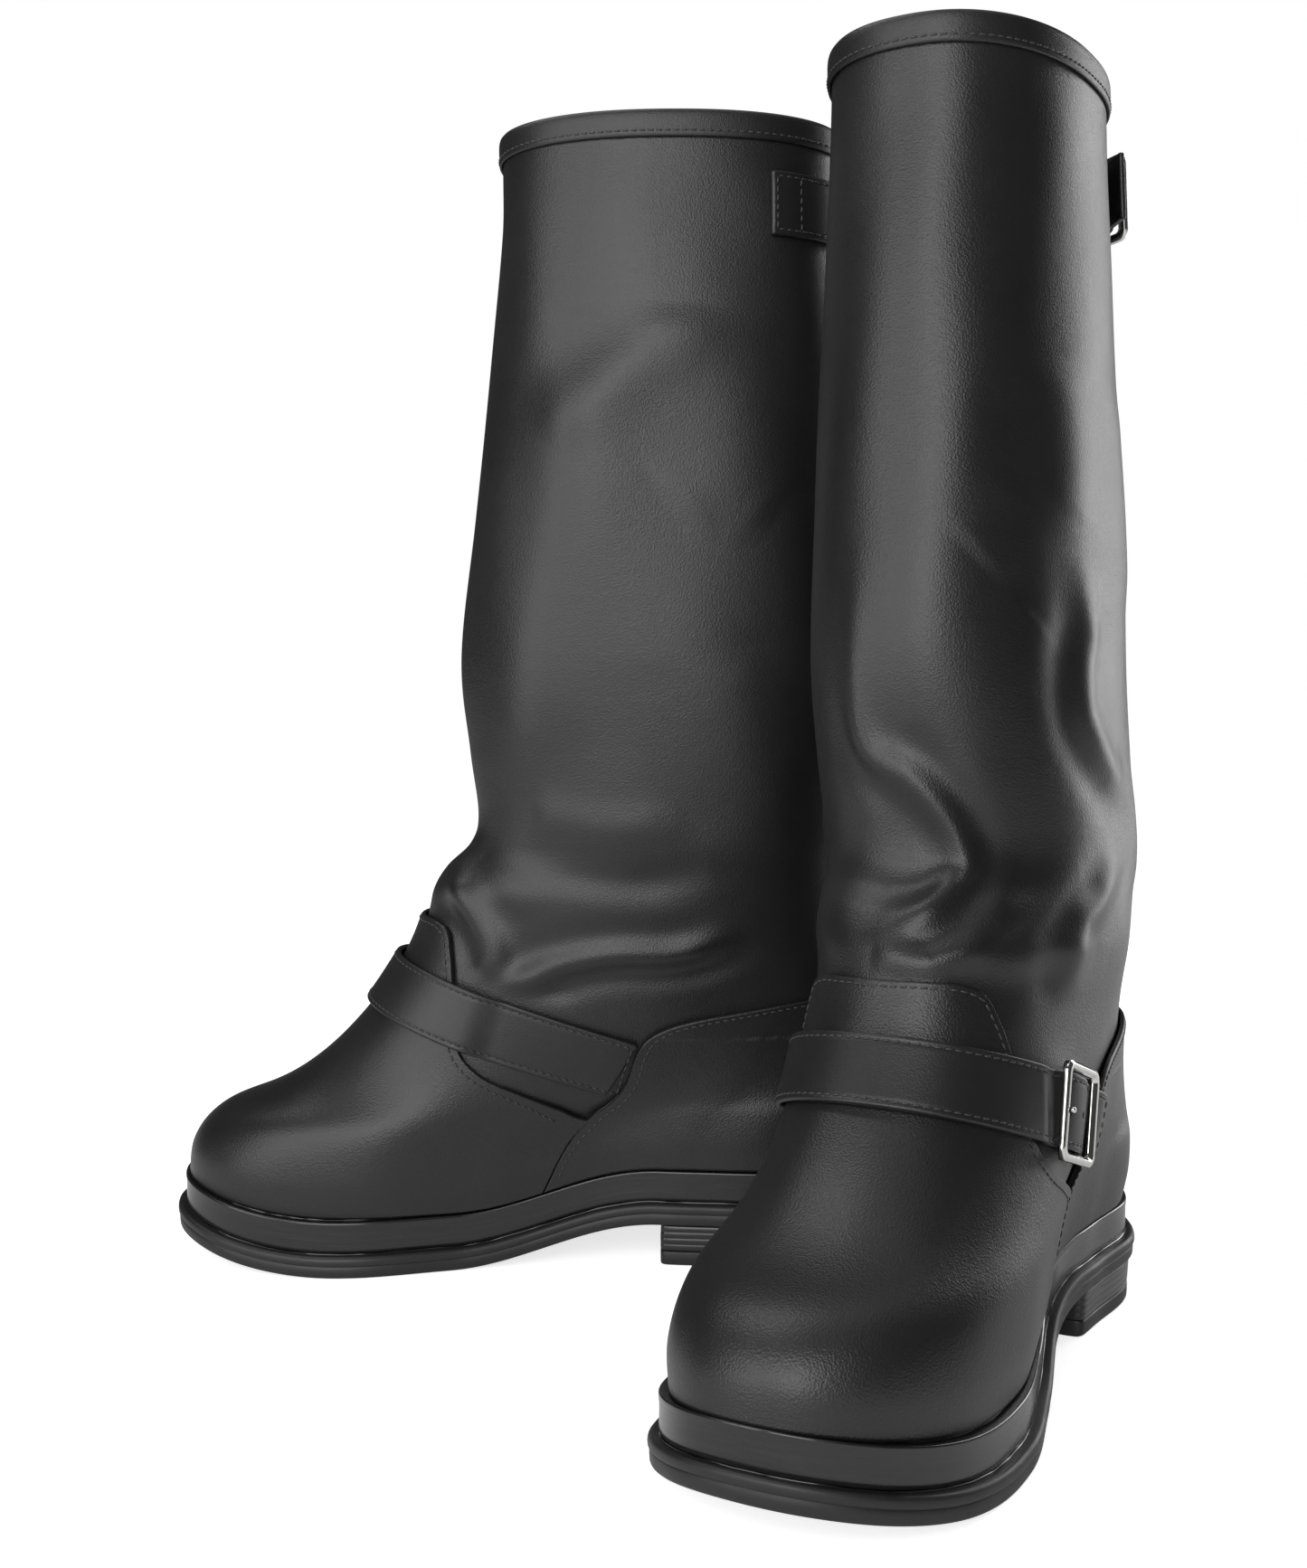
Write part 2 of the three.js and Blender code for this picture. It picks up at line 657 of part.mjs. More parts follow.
function addSole(add) {
  const bottom = (rise) => (x) => underside(x) + rise;
  add("outsole", soleLayer(edgeColumns, [
    [1.2, bottom(0)], [0.3, bottom(1)], [0.3, bottom(5.2)], [0, bottom(6.6)], [1.2, bottom(sole.outsole)],
  ]), "rubber");
  const base = sole.outsole + gap;
  const inset = sole.midsoleInset;
  add("midsole", soleLayer(edgeColumns, [
    [inset, bottom(base)], [inset - 0.4, bottom(base + 2)], [inset - 0.4, bottom(base + sole.midsole - 1.2)],
    [inset + 0.9, bottom(base + sole.midsole)],
  ]), "glossRubber");
  const breast = sole.heelLength;
  const heelTop = (x) => underside(Math.min(x, breast)) - gap;
  const block = (levels) => stack(levels.map(([i, z]) => heelRing(22, i, z, breast)), 0);
  add("heel_block", block([[2.6, () => sole.topLift + gap], [1.8, heelTop]]), "stack");
  add("heel_top_lift", block([[3, () => 0], [2.4, () => 0.8], [2.4, () => sole.topLift]]), "rubber");
  const onPlatform = (rise) => (x) => platform(x) + rise;
  add("cork_filler", stack(
    [0, 1].map((k) => trimmed(28, 15, onPlatform(gap + 2 * k), 132, 248)),
    0,
  ), "cork");
  const shankAt = (y, k) => [46, 64, 82, 100, 118].map((x) => V(x, y, platform(x) + gap + 1.8 * k));
  add("shank", stack([0, 1].map((k) => [...shankAt(7, k), ...shankAt(-7, k).reverse()]), 0), "shank");
  const board = gap + 2 + gap;
  const boardFaces = [0, 2.2].map((k) => [14, onPlatform(board + k)]);
  const linerFaces = [2.5, 4].map((k) => [14.4, onPlatform(board + k)]);
  add("insole_board", soleLayer(innerColumns, boardFaces), "board");
  add("sock_liner", soleLayer(innerColumns, linerFaces), "lining");
}

// The outline's ring kept between two x values, as two mirrored runs.
function trimmed(count, inset, level, from, to) {
  const a = findTurn(to, inset, 0, 0.5);
  const b = findTurn(from, inset, 0, 0.5);
  const c = findTurn(from, inset, 1, 0.5);
  const d = findTurn(to, inset, 1, 0.5);
  const half = count / 2;
  const run = (p, q) => Array.from({ length: half }, (_, i) => rim(lerp(p, q, i / (half - 1)), inset));
  return [...run(a, b), ...run(c, d)].map((p) => V(p.x, p.y, level(p.x)));
}

function addUpper(add) {
  const { shaft, lining, vamp, counter } = upperPieces();
  add("shaft", shaft, "leather");
  add("shaft_lining", lining, "lining");
  add("vamp", vamp, "leather");
  add("heel_counter", counter, "leather");
  add("top_binding", binding(), "trim");
  const puffTop = (deg) => lerp(68, 58, smooth(0, 60, Math.abs(deg)));
  add("toe_puff", backing(5, 16, -62, 62, puffTop, 1), "felt");
  const stiffTop = (deg) => lerp(60, 92, smooth(100, 150, deg > 180 ? 360 - deg : deg)) - 6;
  add("heel_stiffener", backing(4, 14, 112, 248, stiffTop, 1.1), "felt");
}

function addStraps(add) {
  // Ankle strap: a tilted line round the instep. Its lift follows what lies under it.
  const slope = 0.32;
  const innerEnd = strapWidth - 121.5; // a wider strap is sewn in sooner, clear of the counter
  const ankle = track((x) => 109 - slope * (199 - x), innerEnd, 128);
  const middle = ankle.reduce((best, q) => (Math.abs(q.theta) < Math.abs(best.theta) ? q : best)).at;
  const buckleAt = distanceAt(ankle, 141);
  // A wider strap or a thicker vamp keeps them over each other for longer, and brings the counter nearer.
  const vampReach = 15.35 + 1.5 * strapWidth + 2 * leather;
  const counterReach = 77 - 2 * strapWidth;
  const overVamp = (d) => {
    const fromMiddle = Math.abs(d - middle);
    return lerp(2 * gap, overlay + leather + 4 * gap, 1 - smooth(vampReach, vampReach + 14, fromMiddle));
  };
  const ankleLift = (d) => {
    const b = d - buckleAt;
    const base = overVamp(d);
    const near = Math.max(archOf(b), base);
    if (b > counterReach - 10) {
      return lerp(1.8, overlay + leather + gap, smooth(counterReach, counterReach + 8, b));
    }
    return lerp(base, near, smooth(-19, -13, b));
  };
  addBuckledStrap(add, "ankle", ankle, {
    start: 0,
    buckle: buckleAt,
    split: buckleAt + 29,
    end: buckleAt + 45,
    lift: ankleLift,
    tabLength: 33,
    pieces: 30,
  });
  const wide = strapWidth / 2 + 0.5;
  const top = 1.8 + strapThickness + gap;
  const arch = (t) => [
    [-wide - 1.2, gap], [-wide - 1.2, top + 1.2], [wide + 1.2, top + 1.2], [wide + 1.2, gap],
    [wide, gap], [wide, top], [-wide, top], [-wide, gap],
  ].map(([y, z]) => crossways(station(ankle, buckleAt + 23 + t), y, z));
  add("ankle_keeper", staple(arch(-3), arch(3)), "trim");

  // Top strap: level, from the inner side round the back; its free end stands straight off the shaft.
  const level = track(() => shaftHeight - 32.5, -121, -240);
  const topBuckle = distanceAtAngle(level, -210);
  const topLift = (d) => {
    const b = d - topBuckle;
    return lerp(2 * gap, Math.max(archOf(b), 2 * gap), smooth(-24, -13, b));
  };
  addBuckledStrap(add, "top", level, {
    start: 0,
    buckle: topBuckle,
    split: topBuckle + 11,
    end: topBuckle + 26,
    lift: topLift,
    tabLength: 14,
    pieces: 20,
    straight: true,
  });
}

// A staple-shaped bar from two eight-point cross-sections of an arch.
function staple(a, b) {
  const points = [...a, ...b];
  const faces = [];
  for (let i = 0; i < 8; i++) {
    const j = (i + 1) % 8;
    faces.push([i, j, j + 8, i + 8]);
  }
  const legs = [[0, 1, 6, 7], [1, 2, 5, 6], [2, 3, 4, 5]];
  for (const q of legs) {
    faces.push([...q].reverse());
    faces.push(q.map((v) => v + 8));
  }
  return solid(points, faces);
}

function distanceAt(samples, x) {
  const front = samples.reduce((best, q, i) => (q.theta <= 0 ? i : best), 0);
  return samples.slice(front).find((q) => q.p.x < x).at;
}

const distanceAtAngle = (samples, degrees) => samples.find((q) => q.theta < rad(degrees)).at;

function addBuckledStrap(add, which, samples, plan) {
  const st = station(samples, plan.buckle);
  const place = new THREE.Matrix4().makeBasis(st.direction, st.n.clone().cross(st.direction), st.n);
  place.setPosition(st.p);
  const placed = (geometry) => geometry.applyMatrix4(place);
  const hole = (distance, radius) => {
    const at = station(samples, distance);
    const bore = new THREE.CylinderGeometry(radius, radius, 30, 8).rotateX(Math.PI / 2);
    const m = new THREE.Matrix4().makeBasis(at.direction, at.n.clone().cross(at.direction), at.n);
    return welded(bore).applyMatrix4(m.setPosition(at.p));
  };
  const long = ribbon(samples, plan.start, plan.split, plan.pieces, plan.lift);
  const prongRod = new THREE.CylinderGeometry(1.9, 1.9, 30, 10).rotateX(Math.PI / 2);
  const prongBore = placed(welded(prongRod.translate(prongHole, 0, 0)));
  const spare = [plan.buckle + prongHole + holePitch];
  if (plan.straight) spare.push(...[1, 2, 3].map((k) => plan.buckle + prongHole - k * holePitch));
  add(which + "_strap", cut(long, prongBore, ...spare.map((d) => hole(d, 1.2))), "trim");
  const tailStart = plan.split + gap;
  const tail = plan.straight
    ? straightTail(samples, plan)
    : ribbon(samples, tailStart, plan.end, 5, plan.lift);
  add(which + "_strap_tail", tail, "trim");
  add(which + "_buckle_frame", placed(buckleFrame()), "steel");
  add(which + "_buckle_prong", placed(prong()), "steel");
  add(which + "_buckle_tab", tabOf(samples, plan, place), "trim");
}

// The free end of the top strap runs straight on from the last bar.
function straightTail(samples, plan) {
  const st = station(samples, plan.split + 2 * gap);
  const run = plan.end - plan.split - 2 * gap;
  const sections = [0, 0.5, 1].map((t) => {
    const face = (height) => acrossShares.map((w) => crossways(st, (w * strapWidth) / 2, height));
    const low = face(plan.lift(plan.split));
    const high = face(plan.lift(plan.split) + strapThickness);
    return [...low, ...high.reverse()].map((p) => p.addScaledVector(st.direction, t * run));
  });
  return loft(sections, false);
}

function tabOf(samples, plan, place) {
  const [outer, inner] = hookProfile();
  const half = 9.5;
  const section = [...outer, ...inner];
  const hook = arcSolid(section, half).applyMatrix4(place);
  const ply = ribbon(samples, plan.buckle - 0.6, plan.buckle + plan.tabLength, 6, () => 2 * gap, 2 * half, 1);
  const slot = new THREE.BoxGeometry(5.2, 3.6, 12).translate(-0.4, 0, 3);
  return cut(joined(hook, ply), welded(slot).applyMatrix4(place));
}

// A hook's cross-section drawn out across the strap.
function arcSolid(section, half) {
  const n = section.length;
  const points = [-half, half].flatMap((y) => section.map(([x, z]) => V(x, y, z)));
  const faces = [];
  for (let i = 0; i < n; i++) {
    const j = (i + 1) % n;
    faces.push([i, j, j + n, i + n]);
  }
  for (let k = 0; k + 1 < n / 2; k++) {
    const q = [k, k + 1, n - 2 - k, n - 1 - k];
    faces.push([...q].reverse());
    faces.push(q.map((v) => v + n));
  }
  return solid(points, faces);
}

// ---------------------------------------------------------------- the pair, centred over the floor's origin
const pair = new THREE.Group();
for (const name of ["left", "right"]) pair.add(boot(name, boots[name].side));
pair.updateMatrixWorld(true);
const box = new THREE.Box3().setFromObject(pair, true);
pair.position.set(-(box.min.x + box.max.x) / 2, -(box.min.y + box.max.y) / 2, 0);

export default pair;
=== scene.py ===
"""A pair of tall leather riding boots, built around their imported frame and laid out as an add-on."""

import math

import bmesh
import bpy
import numpy as np
from bpy.props import FloatProperty, FloatVectorProperty, PointerProperty
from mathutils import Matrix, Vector


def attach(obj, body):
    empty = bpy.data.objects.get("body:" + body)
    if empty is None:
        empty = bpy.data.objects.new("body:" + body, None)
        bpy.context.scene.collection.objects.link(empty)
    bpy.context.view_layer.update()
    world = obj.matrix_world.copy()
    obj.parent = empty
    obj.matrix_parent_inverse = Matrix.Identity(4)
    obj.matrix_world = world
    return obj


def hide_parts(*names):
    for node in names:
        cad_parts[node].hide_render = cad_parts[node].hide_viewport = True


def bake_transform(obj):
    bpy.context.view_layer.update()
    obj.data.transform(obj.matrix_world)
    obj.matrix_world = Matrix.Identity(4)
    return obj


bl_info = {
    "name": "Riding Boots",
    "version": (1, 0, 0),
    "blender": (4, 5, 0),
    "location": "View3D > Sidebar > Boots",
    "description": "Builds a pair of tall leather riding boots with buckled straps",
    "category": "Add Mesh",
}

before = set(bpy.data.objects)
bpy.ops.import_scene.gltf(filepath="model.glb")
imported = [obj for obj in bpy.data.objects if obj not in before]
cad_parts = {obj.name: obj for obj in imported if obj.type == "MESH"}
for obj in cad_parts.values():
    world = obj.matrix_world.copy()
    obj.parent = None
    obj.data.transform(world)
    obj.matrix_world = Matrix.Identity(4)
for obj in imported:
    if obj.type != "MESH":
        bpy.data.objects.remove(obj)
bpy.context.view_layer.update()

MM = 0.001
GAP = 0.3
LEATHER = 1.7
OVERLAY = 1.0
STRAP = 2.2


# ---------------------------------------------------------------- sizes and finishes
class BootSizes(bpy.types.PropertyGroup):
    """Sizes of the boots' small details, in metres"""

    stitch_pitch: FloatProperty(
        name="Stitch pitch", description="Distance from one stitch to the next", default=0.0031, unit="LENGTH"
    )
    stitch_length: FloatProperty(
        name="Stitch length", description="Length of thread that shows", default=0.0024, unit="LENGTH"
    )
    thread: FloatProperty(name="Thread", description="Radius of the thread", default=0.00033, unit="LENGTH")
    strap_width: FloatProperty(
        name="Strap width", description="Width of both straps", default=0.0235, unit="LENGTH"
    )
    fold_depth: FloatProperty(
        name="Fold depth", description="How strong the folds of the shaft are", default=1.0, subtype="FACTOR"
    )


class BootFinish(bpy.types.PropertyGroup):
    """Colours and gloss of the boots' materials"""

    leather: FloatVectorProperty(
        name="Leather",
        description="Colour of the upper leather",
        subtype="COLOR",
        default=(0.0115, 0.0112, 0.0118),
    )
    leather_gloss: FloatProperty(
        name="Leather roughness", description="Roughness of the upper leather", default=0.36, subtype="FACTOR"
    )
    lining: FloatVectorProperty(
        name="Lining", description="Colour of the lining", subtype="COLOR", default=(0.035, 0.033, 0.032)
    )
    thread: FloatVectorProperty(
        name="Thread colour", description="Colour of the thread", subtype="COLOR", default=(0.03, 0.03, 0.031)
    )
    sole: FloatVectorProperty(
        name="Sole", description="Colour of the outsole", subtype="COLOR", default=(0.012, 0.012, 0.0125)
    )
    metal: FloatVectorProperty(
        name="Buckle", description="Colour of the buckles", subtype="COLOR", default=(0.84, 0.83, 0.81)
    )


class BootStage(bpy.types.PropertyGroup):
    """The floor, the backdrop and the lamps"""

    floor: FloatVectorProperty(
        name="Floor", description="Colour of the floor", subtype="COLOR", default=(0.9, 0.9, 0.9)
    )
    glow: FloatProperty(name="Floor glow", description="How bright the paper is by itself", default=0.74)
    world: FloatProperty(name="Surroundings", description="Light from all round", default=0.05)
    key: FloatProperty(
        name="Key lamp", description="Strength of the large left softbox", default=11.0, unit="POWER"
    )
    fill: FloatProperty(
        name="Fill lamp", description="Strength of the front softbox", default=26.0, unit="POWER"
    )
    rim: FloatProperty(
        name="Side lamp", description="Strength of the right strip", default=7.0, unit="POWER"
    )
    top: FloatProperty(
        name="Top lamp", description="Strength of the lamp overhead", default=4.8, unit="POWER"
    )
    strip: FloatProperty(
        name="High strip",
        description="Strength of the narrow lamp high on the left",
        default=3.2,
        unit="POWER",
    )


def smooth(a, b, x):
    t = np.clip((x - a) / (b - a), 0, 1)
    return t * t * (3 - 2 * t)


def unit(v):
    return v / np.maximum(np.linalg.norm(v, axis=-1, keepdims=True), 1e-12)


# ---------------------------------------------------------------- the last, in millimetres
# A last is the form that a boot is made on: x from heel to toe, y outwards, z up.
SOLE_LENGTH = 282
SOLE_WIDTH = 104
HEEL_RISE = 16
TOE_SPRING = 12
FLAT_FROM = 168
FLAT_TO = 210
HEEL_LENGTH = 87
TOP_LIFT = 5.6
OUTSOLE = 8.5
MIDSOLE = 12
SHAFT_HEIGHT = 435
LEAN = -12
OUTLINE = [
    (1, -0.03), (0.99, 0.29), (0.943, 0.65), (0.851, 0.93), (0.709, 1), (0.567, 0.85), (0.408, 0.66),
    (0.266, 0.69), (0.124, 0.71), (0.028, 0.42), (0, 0), (0.028, -0.42), (0.124, -0.71), (0.266, -0.69),
    (0.408, -0.62), (0.567, -0.77), (0.727, -1), (0.851, -0.94), (0.929, -0.75), (0.982, -0.44),
]
# height, front x, back x, half width, share of the lean, leg shape, how far it follows the sole
SLICES = np.array([
    (39.3, 275, 8, 43.5, 0, 0, 1),
    (50, 273.5, 4.5, 46, 0, 0.05, 0.85),
    (58.6, 267.5, 3, 46.3, 0, 0.1, 0.6),
    (62.9, 257.5, 2.8, 45.6, 0, 0.18, 0.4),
    (65, 245, 3, 44.6, 0, 0.28, 0.25),
    (72, 229, 3.6, 43.2, 0, 0.45, 0.12),
    (82, 214.5, 5, 42.4, 0.02, 0.6, 0),
    (97, 201, 7, 42.4, 0.06, 0.75, 0),
    (117, 188, 9, 43.2, 0.13, 0.9, 0),
    (133, 181, 10.5, 44.5, 0.18, 1, 0),
    (145, 178, 11, 46, 0.24, 1, 0),
    (154, 172.5, 11, 46.6, 0.28, 1, 0),
    (163.5, 163, 11, 47, 0.35, 1, 0),
    (175, 160, 10.6, 47.3, 0.42, 1, 0),
    (200, 162.8, 9.6, 48, 0.55, 1, 0),
    (236, 165.5, 9, 48, 0.72, 1, 0),
    (290, 160, 10.5, 47, 0.82, 1, 0),
    (350, 153, 14, 44.8, 0.92, 1, 0),
    (400, 149, 17, 42.8, 0.98, 1, 0),
    (435, 148.3, 18.4, 42, 1, 1, 0),
])
LAST_SLICE = len(SLICES) - 1
# Rear edge of the vamp from the middle of its tongue tab down to the sole: degrees, height.
VAMP_EDGE = np.array([
    (0, 134), (14, 134), (27, 133), (34, 130), (39, 122), (45, 110),
    (51, 97), (57, 85), (66, 77), (78, 71), (90, 65.5), (101.6, 60.5),
], float)
# Front and top edge of the heel counter from the sole to the middle of the back.
COUNTER_EDGE = np.array([
    (101.8, 60.5), (99.6, 72), (97.4, 83), (98.2, 90), (101.8, 94.6), (108, 97.6), (119, 100.3), (139, 104),
    (160, 105.5), (180, 106),
], float)
# The counter's front edge below that, down into the welt.
COUNTER_FRONT = np.array([(97.1, 40), (98.6, 50), (100.4, 56)], float)
# Where the shaft stops behind the counter.
COUNTER_TOP = np.array([(96, 58), (107, 77), (113, 87), (122, 94), (134, 99), (150, 103), (180, 106)], float)


def closed_curve(points, closed=True, fine=60):
    """Points along a centripetal curve through the given ones."""
    p = np.asarray(points, float)
    n = len(p)
    runs = []
    for i in range(n if closed else n - 1):
        if closed:
            a, b, c, d = (p[(i + k) % n] for k in (-1, 0, 1, 2))
        else:
            b, c = p[i], p[i + 1]
            a = p[i - 1] if i else 2 * b - c
            d = p[i + 2] if i + 2 < n else 2 * c - b
        da, db, dc = (max(np.linalg.norm(v), 1e-9) ** 0.5 for v in (b - a, c - b, d - c))
        m1 = ((b - a) / da - (c - a) / (da + db) + (c - b) / db) * db
        m2 = ((c - b) / db - (d - b) / (db + dc) + (d - c) / dc) * db
        u = np.linspace(0, 1, fine, endpoint=False)[:, None]
        cubic = 2 * b - 2 * c + m1 + m2
        square = -3 * b + 3 * c - 2 * m1 - m2
        runs.append(b + m1 * u + square * u**2 + cubic * u**3)
    runs.append(p[:1] if closed else p[-1:])
    return np.vstack(runs)


def by_length(curve, count):
    """The curve's points at even distances, and its length."""
    far = np.r_[0, np.cumsum(np.linalg.norm(np.diff(curve, axis=0), axis=1))]
    at = np.linspace(0, far[-1], count)
    return np.stack([np.interp(at, far, curve[:, k]) for k in range(curve.shape[1])], -1), far[-1]


OUTLINE_CURVE = closed_curve(np.array(OUTLINE) * [SOLE_LENGTH, SOLE_WIDTH / 2], fine=200)
OUTLINE_FAR = np.r_[0, np.cumsum(np.linalg.norm(np.diff(OUTLINE_CURVE, axis=0), axis=1))]
OUTLINE_FAR /= OUTLINE_FAR[-1]


def rim(turn, inset=0.0):
    """The sole's outline at a share of the way round it, from the toe, moved inwards."""
    def at(t):
        t = np.mod(t, 1)
        return np.stack([np.interp(t, OUTLINE_FAR, OUTLINE_CURVE[:, k]) for k in (0, 1)], -1)

    turn = np.asarray(turn, float)
    p = at(turn)
    d = unit(at(turn + 0.002) - at(turn - 0.002))
    return p + np.stack([-d[..., 1], d[..., 0]], -1) * np.asarray(inset, float)[..., None]


def underside(x):
    waist = HEEL_RISE * smooth(0, 1, (FLAT_FROM - x) / (FLAT_FROM - HEEL_LENGTH))
    toe = TOE_SPRING * (np.maximum(0, x - FLAT_TO) / (SOLE_LENGTH - FLAT_TO)) ** 2
    return np.where(x < FLAT_FROM, waist, toe)


def platform(x):
    return underside(x) + OUTSOLE + GAP + MIDSOLE


SLICE_STEPS = np.linspace(0, LAST_SLICE, 4000)


def smooth_slices():
    """The slices as fine rows: a smooth curve through them, eased further over the toe."""
    i = np.minimum(np.floor(SLICE_STEPS).astype(int), LAST_SLICE - 1)
    u = (SLICE_STEPS - i)[:, None]
    a, b, c, d = (SLICES[np.clip(i + k, 0, LAST_SLICE)] for k in (-1, 0, 1, 2))
    rows = 0.5 * (2 * b + (c - a) * u + (2 * a - 5 * b + 4 * c - d) * u**2 + (3 * b - a - 3 * c + d) * u**3)
    reach = np.arange(-420, 421)
    weights = np.exp(-((reach / 170) ** 2))
    weights /= weights.sum()
    padded = np.vstack([2 * rows[0] - rows[420:0:-1], rows, 2 * rows[-1] - rows[-2:-422:-1]])
    eased = np.stack([np.convolve(padded[:, k], weights, "valid") for k in range(rows.shape[1])], -1)
    share = (smooth(0.6, 2.2, SLICE_STEPS) * (1 - smooth(6.2, 8, SLICE_STEPS)))[:, None]
    return rows + (eased - rows) * share


SLICE_ROWS = smooth_slices()
SLICE_HEIGHTS = SLICE_ROWS[:, 0]


def slice_at(s):
    at = np.clip(s, 0, LAST_SLICE)
    return np.stack([np.interp(at, SLICE_STEPS, SLICE_ROWS[:, k]) for k in range(SLICES.shape[1])], -1)


def slice_of(z):
    return np.interp(z, SLICE_HEIGHTS, SLICE_STEPS)


def face(s, theta):
    """The outer face of the lasted upper, at a slice and an angle round it."""
    s, theta = np.broadcast_arrays(np.asarray(s, float), np.asarray(theta, float))
    k = slice_at(s)
    foot = rim(theta / (2 * np.pi))
    round_of = lambda v: np.sign(v) * np.abs(v) ** (2 / 2.25)
    u = (1 - k[..., 5]) * (2 * foot[..., 0] / SOLE_LENGTH - 1) + k[..., 5] * round_of(np.cos(theta))
    v = (1 - k[..., 5]) * 2 * foot[..., 1] / SOLE_WIDTH + k[..., 5] * round_of(np.sin(theta))
    x = (k[..., 1] + k[..., 2]) / 2 + (k[..., 1] - k[..., 2]) / 2 * u
    y = LEAN * k[..., 4] + k[..., 3] * v
    z = k[..., 0] - (SLICES[0, 0] - platform(x) - 0.8) * k[..., 6]
    return np.stack([x, y, z], -1)


def normal(s, theta):
    s, theta = np.broadcast_arrays(np.asarray(s, float), np.asarray(theta, float))
    s0 = np.clip(s, 0.02, LAST_SLICE - 0.02)
    up = face(s0 + 0.02, theta) - face(s0 - 0.02, theta)
    round_ = face(s0, theta + 0.01) - face(s0, theta - 0.01)
    n = np.cross(round_, up)
    n[..., 2] *= smooth(0, 1.2, s)
    return unit(n)


# ---------------------------------------------------------------- folds
# Each fold: (degrees, height) along its crest, width, height, and the hollows left and right of it.
INNER_FOLDS = [
    ([(-54, 315), (-66, 329), (-78, 340), (-89, 352), (-92, 366)], 11, 1.6, -0.4, 0),
    ([(-68, 352), (-64, 305), (-60, 261), (-52, 218), (-36, 186)], 13, 1.7, -0.5, 0),
    ([(-20, 161), (-32, 159), (-57, 157), (-76, 153), (-90, 151), (-104, 156)], 7.5, -2.0, 0, 0),
    ([(-22, 152), (-33, 146), (-41, 140), (-47, 134), (-52, 127), (-55, 119), (-55, 110)],
     4.5, 2.4, -0.4, -0.5),
    ([(-60, 106), (-67, 113), (-75, 119), (-87, 123), (-97, 123.5), (-104, 126), (-114, 134)],
     5.0, 2.5, -0.3, -0.6),
    ([(-50, 178), (-64, 174), (-80, 172), (-96, 176)], 8, 1.1, 0, 0),
    ([(-90, 292), (-105, 296), (-122, 288)], 13, 0.8, 0, 0),
    ([(-128, 170), (-118, 205), (-112, 240)], 12, 0.9, -0.4, 0),
]
FRONT_FOLDS = [
    ([(-11, 264), (-12.5, 222), (-9, 205), (2, 196), (10, 188), (17, 178), (19.5, 168),
      (12, 157), (3, 151), (-3, 141)], 5.2, 2.4, -0.4, -0.4),
    ([(-5, 142), (4, 140.5), (12, 140), (22, 142), (36, 145)], 4.8, 1.7, 0, -0.3),
    ([(18, 168), (28, 164.5), (37, 156), (44, 146)], 7, 1.0, 0, -0.2),
    ([(24, 145), (42, 140), (64, 141), (84, 137)], 5, 1.0, -0.4, 0),
    ([(30, 262), (40, 272), (48, 290)], 12, 0.9, -0.5, 0),
]
OUTER_FOLDS = [
    ([(74, 268), (78, 243), (74.5, 230), (74.5, 215), (81, 203), (88, 194), (92, 180)], 6, 2.1, -0.5, -0.1),
    ([(91, 172), (81, 154), (73, 148), (70.5, 137), (75, 122)], 6, 1.9, -0.4, -0.2),
    ([(96, 200), (112, 176), (128, 152)], 8, 1.3, -0.4, 0),
    ([(120, 250), (112, 290), (104, 330)], 13, 1.0, -0.4, 0),
    ([(60, 330), (68, 300), (66, 268)], 12, 0.9, -0.4, 0),
]
FOLDS = {
    "left": INNER_FOLDS[4:] + FRONT_FOLDS + OUTER_FOLDS,
    "right": INNER_FOLDS + OUTER_FOLDS,
}
ROUND = 0.9  # millimetres of leather to a degree round the leg


def fold_map(side):
    """How far the folds push the leather out, over a grid of (degrees, height), in millimetres."""
    degrees, z = np.meshgrid(FOLD_DEGREES, FOLD_HEIGHTS, indexing="ij")
    total = np.zeros(degrees.shape)
    for crest, width, height, left, right in FOLDS[side]:
        path = closed_curve(np.array(crest, float) * [ROUND, 1], closed=False, fine=8)
        best = np.full(total.shape, 1e9)
        signed = np.zeros(total.shape)
        share = np.zeros(total.shape)
        steps = len(path) - 1
        for k in range(steps):
            a, d = path[k], path[k + 1] - path[k]
            t = np.clip(((degrees * ROUND - a[0]) * d[0] + (z - a[1]) * d[1]) / (d @ d), 0, 1)
            dx = degrees * ROUND - a[0] - t * d[0]
            dz = z - a[1] - t * d[1]
            far = np.hypot(dx, dz)
            nearer = far < best
            best = np.where(nearer, far, best)
            signed = np.where(nearer, np.sign(d[0] * dz - d[1] * dx) * far, signed)
            share = np.where(nearer, (k + t) / steps, share)
        fade = np.minimum(smooth(0, 0.24, share + 0.03), smooth(0, 0.24, 1.03 - share))
        ridge = np.exp(-((best / width) ** 2))
        hollows = left * np.exp(-(((signed + 1.8 * width) / (1.1 * width)) ** 2))
        hollows += right * np.exp(-(((signed - 1.8 * width) / (1.1 * width)) ** 2))
        total += height * fade * (ridge + hollows)
    waves = 0.35 * np.sin(degrees * 0.071 + z * 0.021) * np.sin(z * 0.037 - degrees * 0.018 + 1.3)
    waves += 0.22 * np.sin(degrees * 0.13 - z * 0.05 + 0.7)
    strap_line = 109 - 0.32 * (199 - face(slice_of(z), np.radians(degrees))[..., 0])
    free = smooth(12.5, 24, z - strap_line) * smooth(0, 24, 424 - z)
    return bpy.context.scene.boot_sizes.fold_depth * free * (total + waves)


FOLD_DEGREES = np.linspace(-180, 180, 481)
FOLD_HEIGHTS = np.linspace(90, 440, 451)
FOLD_MAPS = {}


